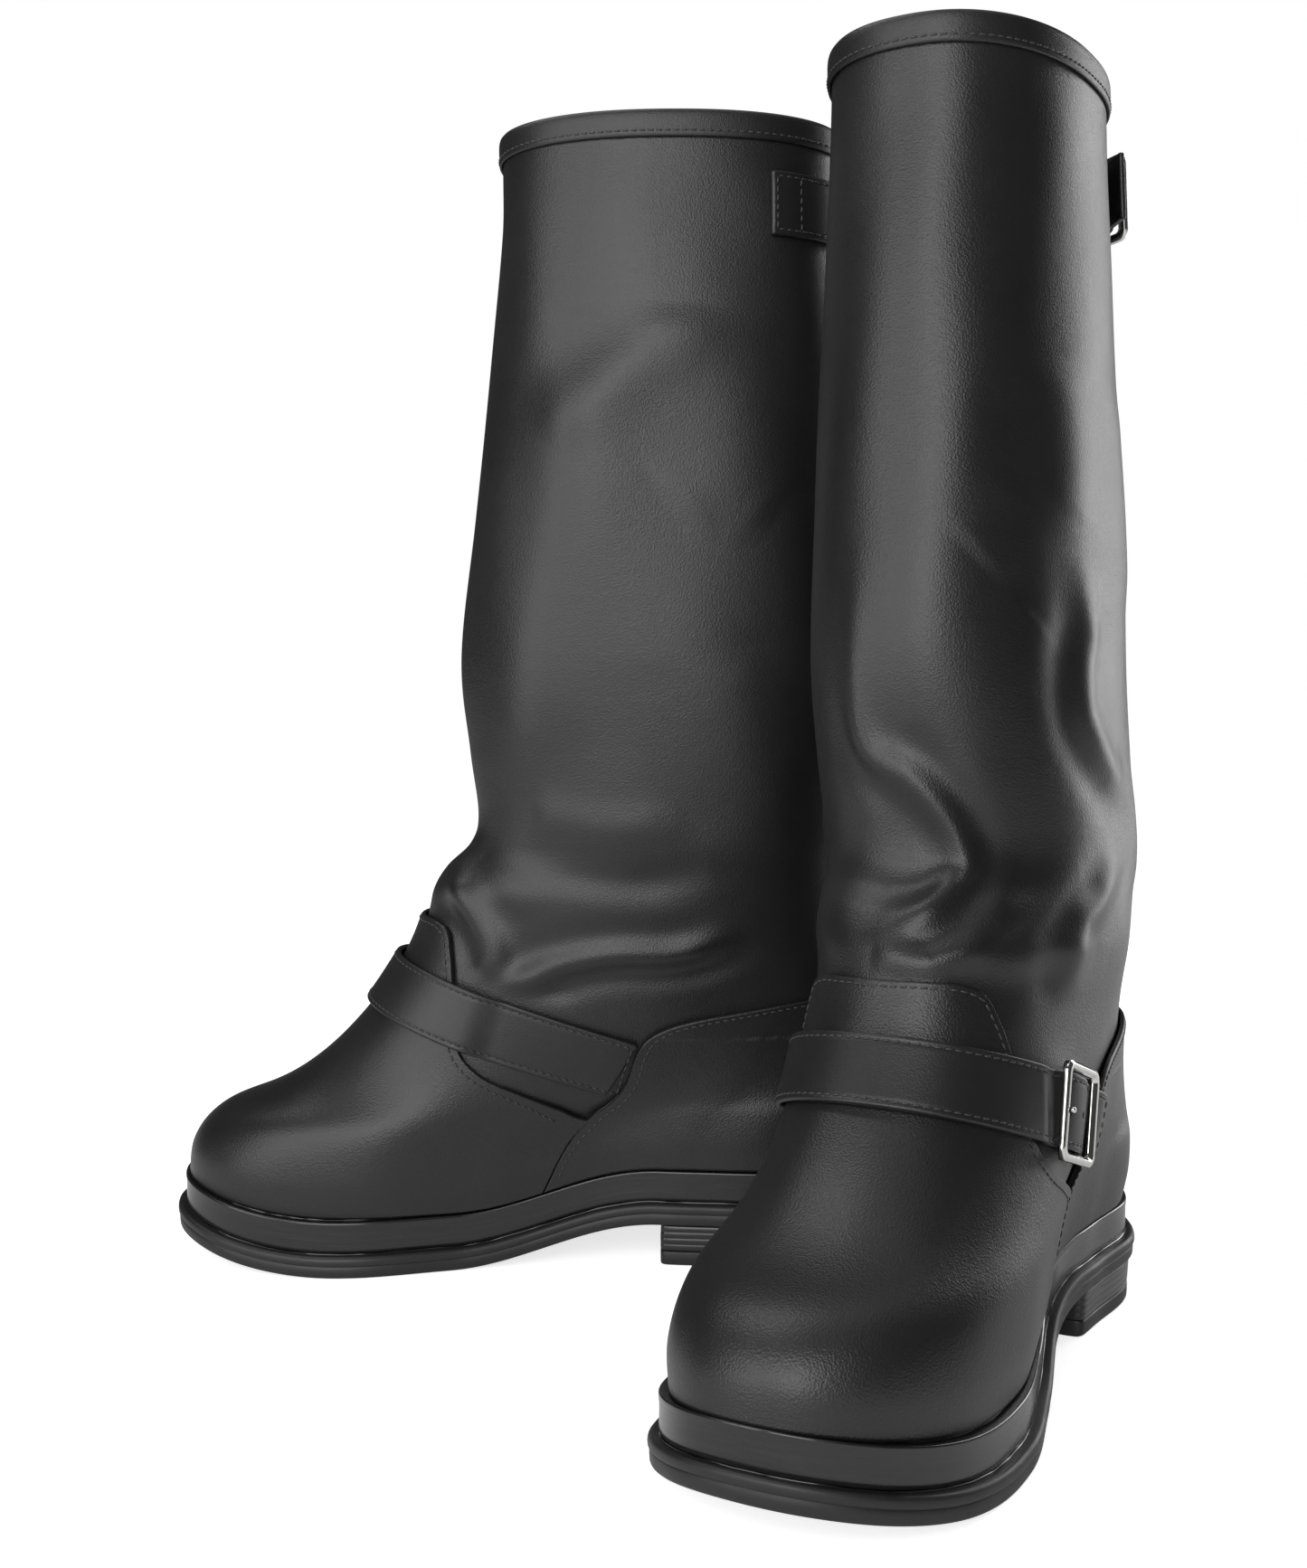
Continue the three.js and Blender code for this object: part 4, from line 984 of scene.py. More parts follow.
class StrapPlan:
    """One strap: its track, where its buckle sits and how high it lies over the upper."""

    def __init__(self, boot, which):
        self.boot, self.which = boot, which
        self.start = 0.0
        if which == "ankle":
            self.track = Track(boot, lambda x: 109 - 0.32 * (199 - x), -98, 128)
            self.middle = np.interp(0, self.track.theta, self.track.far)
            self.buckle = self.track.where_x(141)
            self.split, self.end, self.tab = self.buckle + 29, self.buckle + 45, 33
            self.spare = [self.buckle + HOLE + HOLE_PITCH]
        else:
            self.track = Track(boot, lambda x: np.full(np.shape(x), SHAFT_HEIGHT - 32.5), -121, -240)
            self.buckle = np.interp(-math.radians(-210), -self.track.theta, self.track.far)
            self.split, self.end, self.tab = self.buckle + 11, self.buckle + 26, 14
            self.spare = [self.buckle + HOLE + k * HOLE_PITCH for k in (1, -1, -2, -3)]

    def lift(self, d):
        b = d - self.buckle
        if self.which == "top":
            return 2 * GAP + (np.maximum(arch(b), 2 * GAP) - 2 * GAP) * smooth(-24, -13, b)
        over = OVERLAY + LEATHER + 4 * GAP
        from_middle = np.abs(d - self.middle)
        base = 2 * GAP + (over - 2 * GAP) * (1 - smooth(54, 68, from_middle))
        near = np.maximum(arch(b), base)
        behind = 1.8 + (OVERLAY + LEATHER + GAP - 1.8) * smooth(30, 38, b)
        return np.where(b > 20, behind, base + (near - base) * smooth(-19, -13, b))

    def points(self, d, width, height):
        """Points of the strap at distances along it, crossways and through its thickness."""
        d, width, height = np.broadcast_arrays(*(np.asarray(v, float) for v in (d, width, height)))
        last = self.split + 2 * GAP
        on = np.minimum(d, last) if self.which == "top" else d
        p, n = self.track.surface(on, width, self.lift(on) + height)
        if self.which == "top":
            _, _, _, _, direction, _ = self.track.at(np.array([last]))
            p = p + direction[0] * (d - on)[..., None]
        return p, n

    def buckle_matrix(self):
        _, _, p, n, d, across = (np.asarray(v) for v in self.track.at(np.array([self.buckle])))
        return p[0], d[0], across[0], n[0]

    def from_buckle(self, q):
        """Buckle coordinates, x along the strap and z outwards, to the last's."""
        p, d, across, n = self.buckle_matrix()
        q = np.asarray(q, float)
        return p + q[..., :1] * d + q[..., 1:2] * across + q[..., 2:] * n


SLANT = 5.5
STITCH_IN = 2.0
PRONG_HOLE = (1.6, 2.35)
SPARE_HOLE = (1.1, 1.1)
KEEPER_AT = 23


def strap_body(plan):
    """The strap as one piece with its free end, which bends away at the split."""
    half = bpy.context.scene.boot_sizes.strap_width / MM / 2
    ends = 1.1
    d = np.r_[
        plan.start + ends * (1 - np.cos(np.linspace(0, np.pi / 2, 5)))[:-1],
        np.linspace(plan.start + ends, plan.end - ends, int((plan.end - plan.start) * 1.6)),
        plan.end - ends * (1 - np.sin(np.linspace(0, np.pi / 2, 5)))[1:],
    ]
    # every cross-section is the same loop, a little smaller where the cut ends are rounded
    from_end = np.minimum(d - plan.start, plan.end - d)
    small = np.sqrt(np.clip(1 - (1 - np.clip(from_end / ends, 0, 1)) ** 2, 0, 1))
    across = 41
    w = np.linspace(-1, 1, across)
    w = np.sign(w) * (1 - (1 - np.abs(w)) ** 1.5)
    row = half - STITCH_IN
    corner = 0.75
    lanes = []
    for kind in ("under", "over"):
        for x in (w if kind == "under" else w[::-1]):
            flat = x * (half - 0.02)
            to_side = half - abs(flat)
            round_ = corner * (1 - math.sqrt(max(0, 1 - (1 - min(to_side / corner, 1)) ** 2)))
            groove = 0.17 * math.exp(-(((abs(flat) - row) / 0.5) ** 2))
            puff = 0.12 * max(0, 1 - (flat / row) ** 2) if abs(flat) < row else 0
            height = round_ if kind == "under" else STRAP - round_ - groove + puff
            lanes.append((flat, height))
    lanes = np.array(lanes)
    width = lanes[None, :, 0] * (1 - 0.04 * (1 - small[:, None]))
    height = STRAP / 2 + (lanes[None, :, 1] - STRAP / 2) * (0.25 + 0.75 * small[:, None])
    slant = SLANT * (half - width) / (2 * half) * (1 - smooth(0, 30, d - plan.start))[:, None]
    points, _ = plan.points(d[:, None] + (slant if plan.which == "ankle" else 0), width, height)
    return points


def carve(obj, cutters):
    """Takes closed cutters out of a piece."""
    for cutter in cutters:
        modifier = obj.modifiers.new("cut", "BOOLEAN")
        modifier.operation = "DIFFERENCE"
        modifier.solver = "EXACT"
        modifier.object = cutter
    bpy.context.view_layer.update()
    cut = bpy.data.meshes.new_from_object(obj.evaluated_get(bpy.context.evaluated_depsgraph_get()))
    obj.modifiers.clear()
    obj.data = cut


def cut_holes(boot, obj, holes):
    """Punches holes. Each is (point, direction through, direction along, half width, half length)."""
    cutters = []
    for centre, direction, along, wide, long in holes:
        side = unit(np.cross(direction, along))
        other = np.cross(direction, side)
        a = np.linspace(0, 2 * np.pi, 24, endpoint=False)
        ring = centre + wide * np.cos(a)[:, None] * side + long * np.sin(a)[:, None] * other
        p = np.vstack([ring - 5 * direction, ring + 5 * direction])
        faces = [tuple(range(23, -1, -1)), tuple(range(24, 48))]
        faces += [(i, (i + 1) % 24, 24 + (i + 1) % 24, 24 + i) for i in range(24)]
        cutter = make_mesh(boot, "punch", p, faces, obj.data.materials[0], ride=False)
        cutters.append(cutter)
    carve(obj, cutters)
    for cutter in cutters:
        bpy.data.objects.remove(cutter)


def make_strap(plan, material, thread):
    boot, which = plan.boot, plan.which
    loops = strap_body(plan)
    strap = shell(boot, which + "_strap_leather", loops, material, closed_round=False, ride=False)
    hole = plan.from_buckle(np.array([[HOLE + 0.25, 0, 5.0]]))[0]
    _, along, _, out = plan.buckle_matrix()
    holes = [(hole, out, along, *PRONG_HOLE)]
    for d in plan.spare:
        if d > plan.start + 4:
            p, n = plan.points(np.array([d]), np.array([0.0]), np.array([STRAP / 2]))
            holes.append((p[0], n[0], along, *SPARE_HOLE))
    cut_holes(boot, strap, holes)
    half = bpy.context.scene.boot_sizes.strap_width / MM / 2
    row = half - STITCH_IN
    paths = []
    for sign in (-1, 1):
        d = np.linspace(plan.start + 2.4, plan.end - 2.2, 700)
        p, n = plan.points(d, np.full(700, sign * row), np.full(700, STRAP - 0.17))
        paths.append((p, n))
    for place in ([plan.start + 2.0, plan.start + 11.5] if which == "top" else [plan.start + 2.0]):
        w = np.linspace(-row, row, 60)
        p, n = plan.points(np.full(60, place), w, np.full(60, STRAP + 0.02))
        paths.append((p, n))
    w = np.linspace(-row, row, 60)
    p, n = plan.points(np.full(60, plan.end - 2.2), w, np.full(60, STRAP + 0.02))
    paths.append((p, n))
    sewn = stitches(boot, which + "_strap_stitches", paths, thread)
    a, _ = plan.points(np.array([plan.split - 2.5, plan.split + 3.0]), np.zeros(2), np.full(2, STRAP / 2))
    start, end = (tuple(v) for v in boot.place(a))
    sewn.parent = None
    for piece in (strap, sewn):
        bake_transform(piece)
        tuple(start)
        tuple(end)
    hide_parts(f"{boot.name}_{which}_strap", f"{boot.name}_{which}_strap_tail")
    return strap


def make_tab(plan, material):
    """The leather loop that holds the buckle's centre bar, with its tail laid along the upper."""
    boot, which = plan.boot, plan.which
    half = 9.5
    arc = lambda r, a, b, n: [
        (r * math.cos(t), PIN_HEIGHT + r * math.sin(t)) for t in np.radians(np.linspace(a, b, n))
    ]
    profile = np.array(arc(2.05, 270, 20, 26) + arc(1.25, 20, 270, 26))
    wide = np.linspace(-half, half, 9)
    hook = np.stack([
        plan.from_buckle(np.stack([profile[:, 0], np.full(len(profile), y), profile[:, 1]], -1)) for y in wide
    ])
    d = np.linspace(plan.buckle - 0.4, plan.buckle + plan.tab, 60)
    loop = rounded_loop(half, 1.0, 0.45, 15)
    ply, _ = plan.track.surface(d[:, None], loop[None, :, 0], 2 * GAP + loop[None, :, 1])
    tab = shell(boot, which + "_tab_ply", ply, material, closed_round=False)
    n = hook.shape[1]
    faces = quads(len(wide), n, close_columns=True)
    k = np.arange(n // 2 - 1)
    cap = np.stack([k, n - 1 - k, n - 2 - k, k + 1], -1)
    faces = np.vstack([faces[:, ::-1], cap[:, ::-1], cap + (len(wide) - 1) * n])
    loop_piece = make_mesh(boot, which + "_tab_loop", hook.reshape(-1, 3), faces, material)
    slot = plan.from_buckle(np.array([
        (x, y, z) for x in (-3.0, 2.2) for y in (-1.8, 1.8) for z in (-3.0, 9.0)
    ]))
    box = [(0, 1, 3, 2), (4, 6, 7, 5), (0, 4, 5, 1), (2, 3, 7, 6), (0, 2, 6, 4), (1, 5, 7, 3)]
    cutter = make_mesh(boot, "slot", slot, box, material, ride=False)
    for piece in (tab, loop_piece):
        carve(piece, [cutter])
    bpy.data.objects.remove(cutter)
    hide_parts(f"{boot.name}_{which}_buckle_tab")


def make_keeper(plan, material):
    """The leather keeper: a band that arches over the strap behind the buckle."""
    boot = plan.boot
    half = bpy.context.scene.boot_sizes.strap_width / MM / 2
    wide = half + 0.5
    top = 1.8 + STRAP + GAP
    inner = [(-wide, GAP), (-wide, top - 0.6), (-wide + 0.6, top)]
    outer = [(-wide - 1.2, GAP), (-wide - 1.2, top + 0.4), (-wide - 0.3, top + 1.2)]
    over = [(x, top + 1.2) for x in np.linspace(-wide + 0.6, wide - 0.6, 20)]
    under = [(x, top) for x in np.linspace(-wide + 1.2, wide - 1.2, 20)]
    section = outer + over + [(-x, z) for x, z in outer[::-1]]
    back = inner + under + [(-x, z) for x, z in inner[::-1]]
    count = min(len(section), len(back))
    loop = np.array(section[:count] + back[:count][::-1])
    d = plan.buckle + KEEPER_AT + np.array([-3, -2.93, -2.6, -1.5, 0, 1.5, 2.6, 2.93, 3])
    soft = np.array([0.35, 0.12, 0, 0, 0, 0, 0, 0.12, 0.35])
    z = loop[None, :, 1] - soft[:, None] * (loop[None, :, 1] > top + 0.3)
    points, _ = plan.track.surface(d[:, None], loop[None, :, 0], z)
    keeper = shell(boot, "ankle_keeper_leather", points, material, closed_round=False)
    face_outwards(keeper)
    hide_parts(boot.name + "_ankle_keeper")


# ---------------------------------------------------------------- buckles
def rounded_corner_path(half_x, half_y, radius, count):
    points = []
    for sx, sy, start in ((1, 1, 0), (-1, 1, 90), (-1, -1, 180), (1, -1, 270)):
        for t in np.linspace(0, 90, count):
            a = math.radians(start + t)
            x = sx * (half_x - radius) + radius * math.cos(a)
            y = sy * (half_y - radius) + radius * math.sin(a)
            points.append((x, y))
    return np.array(points)


def make_buckle(plan, metal):
    """The buckle's frame with its centre bar, and the prong that turns on it."""
    boot, which = plan.boot, plan.which
    inner_y = bpy.context.scene.boot_sizes.strap_width / MM / 2 + 0.7
    inner = rounded_corner_path(BUCKLE / 2 - BAR, inner_y, 1.8, 12)
    outer = rounded_corner_path(BUCKLE / 2, inner_y + 3, 4, 12)
    thick = BAR_TOP - BAR_BOTTOM
    # across the bar from its inner side: a flat bottom, eased edges, bevels inside and outside
    profile = [
        (0.1, 0), (0, 0.12), (0, 0.95), (0.03, 1.12), (0.26, 2.2), (0.33, 2.36), (0.42, 2.4), (0.62, 2.4),
        (0.72, 2.35), (0.94, 1.85), (0.99, 1.7), (1, 1.5), (1, 0.2), (0.94, 0), (0.5, 0),
    ]
    profile = np.array(profile) * [1, thick / 2.4]
    ring = []
    for share, height in profile:
        xy = inner + (outer - inner) * share
        ring.append(np.column_stack([xy, np.full(len(xy), BAR_BOTTOM + height)]))
    ring = np.stack(ring, 1)
    points = [plan.from_buckle(ring).reshape(-1, 3)]
    faces = [quads(ring.shape[0], ring.shape[1], True, True)[:, ::-1]]
    count = len(points[0])
    # the centre bar and the two lugs that carry it
    a = np.linspace(0, 2 * np.pi, 28, endpoint=False)
    rail = np.array([-inner_y - 0.9, -inner_y - 0.6, inner_y + 0.6, inner_y + 0.9])
    size = np.array([0.6, 1, 1, 0.6])
    bar = np.stack([
        np.broadcast_to(size[:, None] * np.cos(a), (4, 28)),
        np.broadcast_to(rail[:, None], (4, 28)),
        PIN_HEIGHT + size[:, None] * np.sin(a),
    ], -1)
    points.append(plan.from_buckle(bar).reshape(-1, 3))
    side = quads(4, 28, close_columns=True) + count
    faces.append(side)
    count += 4 * 28
    obj_faces = [tuple(f) for block in faces for f in block]
    obj_faces.append(tuple(count - 28 * 4 + k for k in range(28))[::-1])
    obj_faces.append(tuple(count - 28 + k for k in range(28)))
    for sign in (-1, 1):
        lug = []
        for z, grow in ((PIN_HEIGHT - 1.25, 0.8), (PIN_HEIGHT - 0.9, 1.0), (BAR_BOTTOM + 0.9, 1.15)):
            path = rounded_corner_path(1.6 * grow, 0.95, 0.5, 4)
            lug.append(np.column_stack([path[:, 0], path[:, 1] + sign * (inner_y + 1.3), np.full(16, z)]))
        lug = np.stack(lug)
        points.append(plan.from_buckle(lug).reshape(-1, 3))
        obj_faces += [tuple(f) for f in quads(3, 16, close_columns=True) + count]
        obj_faces += [tuple(range(count + 15, count - 1, -1)), tuple(range(count + 32, count + 48))]
        count += 48
    buckle = make_mesh(boot, which + "_buckle", np.vstack(points), obj_faces, metal, ride=False)
    face_outwards(buckle)
    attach(buckle, f"{boot.name}_{which}_buckle")
    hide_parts(f"{boot.name}_{which}_buckle_frame")
    knots = np.array([
        (-1.55, 0, PIN_HEIGHT - 0.3), (-4.5, 0, 1.75), (-7, 0, 2.0), (-8.4, 0, 3.3), (-9.1, 0, BAR_TOP - 2.4),
        (-10.2, 0, BAR_TOP - 0.35), (-12, 0, BAR_TOP + 0.9), (-14, 0, BAR_TOP + 1.1),
    ])
    path, _ = by_length(closed_curve(knots, closed=False, fine=20), 60)
    t = unit(np.gradient(path, axis=0))
    up = np.stack([-t[:, 2], np.zeros(60), t[:, 0]], -1)
    tip = np.linspace(0, 1, 60)
    r = 0.88 - 0.12 * tip
    r *= np.sqrt(np.clip(1 - np.clip((tip - 0.955) / 0.046, 0, 1) ** 2, 0.02, 1))
    b = np.linspace(0, 2 * np.pi, 20, endpoint=False)
    flat = 1.25
    tube = (path[:, None] + up[:, None] * (r[:, None] * np.cos(b))[..., None]
            + np.array([0, 1, 0]) * (r[:, None] * flat * np.sin(b))[..., None])
    points = plan.from_buckle(tube).reshape(-1, 3)
    faces = [tuple(f) for f in quads(60, 20, close_columns=True)]
    faces += [tuple(range(19, -1, -1)), tuple(range(59 * 20, 60 * 20))]
    c = np.linspace(0, 2 * np.pi, 32, endpoint=False)
    eye = []
    flank = [(1.25, -1.2), (1.35, -1.3), (1.8, -1.3), (1.9, -1.2)]
    for radius, y in flank + [(radius, -y) for radius, y in flank[::-1]]:
        eye.append(np.stack([radius * np.cos(c), np.full(32, y), PIN_HEIGHT + radius * np.sin(c)], -1))
    eye = np.stack(eye, 1)
    faces += [tuple(f[::-1]) for f in quads(32, 8, True, True) + len(points)]
    points = np.vstack([points, plan.from_buckle(eye).reshape(-1, 3)])
    prong = make_mesh(boot, which + "_prong", points, faces, metal, ride=False)
    face_outwards(prong)
    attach(prong, f"{boot.name}_{which}_prong")
    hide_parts(f"{boot.name}_{which}_buckle_prong")


# ---------------------------------------------------------------- soles
def sole_layer(boot, name, profile, material, columns=420, cover=14):
    """A layer of the sole: a profile of (inset, height over the underside) run round the outline."""
    turn = np.linspace(0, 1, columns, endpoint=False)
    rows = []
    for inset, rise in profile:
        xy = rim(turn, np.full(columns, inset))
        rows.append(np.column_stack([xy, underside(xy[:, 0]) + rise]))
    rows = np.stack(rows)
    points = [rows.reshape(-1, 3)]
    faces = [quads(len(rows), columns, close_columns=True)]
    count = rows.shape[0] * columns
    around = turn * OUTLINE_LENGTH * MM
    run = np.r_[0, np.cumsum(np.hypot(*np.diff(np.array(profile), axis=0).T))] * MM
    uv = [np.stack(np.broadcast_arrays(around[None], run[:, None]), -1).reshape(-1, 2)]
    half = columns // 2
    for row, flip in ((0, True), (len(rows) - 1, False)):
        ring = rows[row]
        left = ring[1:half]
        right = ring[::-1][:half - 1]
        share = np.linspace(0, 1, cover)[1:-1]
        inner = left[:, None] + (right - left)[:, None] * share[None, :, None]
        inner[..., 2] = underside(inner[..., 0]) + profile[row][1]
        index = np.empty((half - 1, cover), int)
        index[:, 0] = row * columns + np.arange(1, half)
        index[:, -1] = row * columns + columns - np.arange(1, half)
        index[:, 1:-1] = count + np.arange(inner.shape[0] * (cover - 2)).reshape(-1, cover - 2)
        count += inner.shape[0] * (cover - 2)
        points.append(inner.reshape(-1, 3))
        uv.append(inner[..., :2].reshape(-1, 2) * MM)
        q = np.stack([index[:-1, :-1], index[:-1, 1:], index[1:, 1:], index[1:, :-1]], -1).reshape(-1, 4)
        faces.append(q if flip else q[:, ::-1])
        for a, b in ((0, 0), (half, -1)):
            line = index[b]
            tri = np.stack([np.full(cover - 1, row * columns + a), line[:-1], line[1:]], -1)
            tri = np.column_stack([tri, tri[:, 2]])
            faces.append(tri)
    all_faces = [tuple(dict.fromkeys(int(v) for v in f)) for block in faces for f in block]
    return make_mesh(boot, name, np.vstack(points), all_faces, material, uv=np.vstack(uv))


OUTLINE_LENGTH = float(np.sum(np.linalg.norm(np.diff(OUTLINE_CURVE, axis=0), axis=1)))


def heel_ring(inset, level, count=150, across=30):
    """The heel's outline up to its breast, closed straight across, with eased corners."""
    turn = np.linspace(0, 1, 2000)
    x = rim(turn, np.full(2000, inset))[:, 0]
    inside = turn[x < HEEL_LENGTH]
    start, end = inside[0], inside[-1]
    run = rim(np.linspace(start, end, count), np.full(count, inset))
    run[:, 0] = np.minimum(run[:, 0], HEEL_LENGTH)
    t = np.linspace(0, 1, across + 2)[1:-1, None]
    breast = run[-1] + (run[0] - run[-1]) * t
    ring = np.vstack([run, breast])
    curve, _ = by_length(np.vstack([ring, ring[:1]]), count + across + 1)
    ring = curve[:-1]
    for _ in range(3):
        ring = 0.5 * ring + 0.25 * (np.roll(ring, 1, 0) + np.roll(ring, -1, 0))
    return np.column_stack([ring, level(ring[:, 0])])


def make_heel_part(boot, name, levels, material):
    rings = np.stack([heel_ring(inset, level) for inset, level in levels])
    count = rings.shape[1]
    faces = [tuple(f) for f in quads(len(rings), count, close_columns=True)]
    faces += [tuple(range(count - 1, -1, -1)), tuple(range((len(rings) - 1) * count, len(rings) * count))]
    far = np.linspace(0, 1, count) * 270 * MM
    uv = np.stack(np.broadcast_arrays(far[None], rings[..., 2] * MM), -1)
    return make_mesh(boot, name, rings.reshape(-1, 3), faces, material, uv=uv.reshape(-1, 2))


def make_cement(boot, name, inset, rise, material, seed):
    """The thin uneven bead of cement squeezed out between two layers."""
    rng = np.random.default_rng(seed)
    columns = 700
    turn = np.linspace(0, 1, columns, endpoint=False)
    wander = np.zeros(columns)
    size = np.zeros(columns)
    for k in range(3, 60):
        a, b = rng.normal(size=2)
        wander += a * np.sin(2 * np.pi * k * turn + b * 5) / k**0.6
        size += b * np.sin(2 * np.pi * k * turn + a * 5) / k**0.4
    wander *= 0.16 / wander.std()
    size = 0.24 + 0.15 * np.tanh(size / size.std())
    a = np.linspace(0, 2 * np.pi, 10, endpoint=False)
    ring = []
    for t in a:
        xy = rim(turn, inset - size * math.cos(t))
        z = underside(xy[:, 0]) + rise + wander * 0.5 + size * 1.3 * math.sin(t)
        ring.append(np.column_stack([xy, z]))
    ring = np.stack(ring, 1)
    return make_mesh(boot, name, ring.reshape(-1, 3), quads(columns, 10, True, True)[:, ::-1], material)


# ---------------------------------------------------------------- operators
SENSOR = 36
LENS_SHARE = 1969.6 / 1445  # the lens's length over the frame's width
CAMERA_AT = (0.0064457, -0.6079228, 0.2197)
CAMERA_DOWN = 2.7  # degrees


class BOOTS_OT_stage(bpy.types.Operator):
    """Floor, backdrop, lamps and camera"""

    bl_idname = "boots.stage"
    bl_label = "Stage"

    def execute(self, context):
        stage = context.scene.boot_stage
        camera = bpy.data.objects.new("camera", bpy.data.cameras.new("camera"))
        context.scene.collection.objects.link(camera)
        camera.data.sensor_fit = "HORIZONTAL"
        camera.data.sensor_width = SENSOR
        camera.data.lens = SENSOR * LENS_SHARE
        camera.location = CAMERA_AT
        camera.rotation_euler = (math.radians(90 - CAMERA_DOWN), 0, 0)
        camera.data.clip_start, camera.data.clip_end = 0.01, 200
        context.scene.camera = camera
        self.floor(context, stage)
        self.lamps(context, stage)
        return {"FINISHED"}

    def floor(self, context, stage):
        mesh = bpy.data.meshes.new("floor")
        size = 60
        corners = [(-size, -size, 0), (size, -size, 0), (size, size, 0), (-size, size, 0)]
        mesh.from_pydata(corners, [], [(0, 1, 2, 3)])
        floor = bpy.data.objects.new("floor", mesh)
        context.scene.collection.objects.link(floor)
        floor.location.z = -0.0002
        material, shader = new_material("paper_floor", 0.9, specular=0.1)
        shader.inputs["Base Color"].default_value = (*stage.floor, 1)
        shader.inputs["Emission Color"].default_value = (1, 1, 1, 1)
        n = Nodes(material)
        far = n.add("ShaderNodeVectorMath", operation="LENGTH")
        n.link(n.place, far.inputs[0])
        seen = n.add("ShaderNodeLightPath").outputs["Is Camera Ray"]
        glow = n.add("ShaderNodeMath", operation="MULTIPLY")
        n.link(n.span(far.outputs["Value"], 0.3, 1.1, stage.glow, 1.0), glow.inputs[0])
        n.link(n.span(seen, 0.0, 1.0, 0.12, 1.0), glow.inputs[1])
        n.link(glow.outputs[0], shader.inputs["Emission Strength"])
        mesh.materials.append(material)
        world = bpy.data.worlds.new("backdrop")
        context.scene.world = world
        world.use_nodes = True
        tree = world.node_tree
        tree.nodes.clear()
        path = tree.nodes.new("ShaderNodeLightPath")
        seen = tree.nodes.new("ShaderNodeBackground")
        seen.inputs["Strength"].default_value = 1.0
        seen.inputs["Color"].default_value = (1, 1, 1, 1)
        lit = tree.nodes.new("ShaderNodeBackground")
        lit.inputs["Strength"].default_value = stage.world
        lit.inputs["Color"].default_value = (1, 1, 1, 1)
        mix = tree.nodes.new("ShaderNodeMixShader")
        out = tree.nodes.new("ShaderNodeOutputWorld")
        tree.links.new(path.outputs["Is Camera Ray"], mix.inputs["Fac"])
        tree.links.new(lit.outputs["Background"], mix.inputs[1])
        tree.links.new(seen.outputs["Background"], mix.inputs[2])
        tree.links.new(mix.outputs["Shader"], out.inputs["Surface"])
        context.scene.view_settings.view_transform = "Standard"

    def lamps(self, context, stage):
        plans = [
            ("key_softbox", (-1.3, -0.95, 0.6), (0, 0, 0.22), 0.8, 1.4, stage.key),
            ("front_softbox", (-0.4, -1.9, 0.9), (0, 0, 0.2), 1.4, 1.5, stage.fill),
            ("side_strip", (1.2, 0.85, 0.5), (0, 0, 0.22), 0.35, 1.2, stage.rim),
            ("top_softbox", (0, 0.1, 1.7), (0, 0, 0), 1.6, 1.6, stage.top),
            ("high_strip", (-0.52, 0.12, 1.35), (0.05, -0.12, 0.07), 0.22, 0.9, stage.strip),
        ]
        for name, at, aim, width, height, power in plans:
            light = bpy.data.lights.new(name, "AREA")
            light.shape = "RECTANGLE"
            light.size, light.size_y = width, height
            light.energy = power
            lamp = bpy.data.objects.new(name, light)
            context.scene.collection.objects.link(lamp)
            lamp.location = at
            look = np.array(aim, float) - np.array(at, float)
            lamp.rotation_euler = Vector(look).to_track_quat("-Z", "Y").to_euler()


class BOOTS_OT_uppers(bpy.types.Operator):
    """Shaft, lining, binding, vamp and heel counter"""

    bl_idname = "boots.uppers"
    bl_label = "Uppers"

    def execute(self, context):
        m = materials()
        for boot in BOOTS:
            make_shaft(boot, m["upper"])
            make_lining(boot, m["lining"])
            make_binding(boot, m["binding"], m["thread"])
            make_vamp(boot, m["upper"], m["thread"])
            make_counter(boot, m["upper"], m["thread"])
        return {"FINISHED"}


class BOOTS_OT_straps(bpy.types.Operator):
    """Straps with their free ends, buckle loops and keepers"""

    bl_idname = "boots.straps"
    bl_label = "Straps"

    def execute(self, context):
        m = materials()
        for boot in BOOTS:
            for which in ("ankle", "top"):
                plan = StrapPlan(boot, which)
                make_strap(plan, m["strap"], m["thread"])
                make_tab(plan, m["strap"])
                if which == "ankle":
                    make_keeper(plan, m["strap"])
        return {"FINISHED"}


class BOOTS_OT_buckles(bpy.types.Operator):
    """Buckle frames and prongs"""

    bl_idname = "boots.buckles"
    bl_label = "Buckles"

    def execute(self, context):
        m = materials()
        for boot in BOOTS:
            for which in ("ankle", "top"):
                make_buckle(StrapPlan(boot, which), m["metal"])
        return {"FINISHED"}


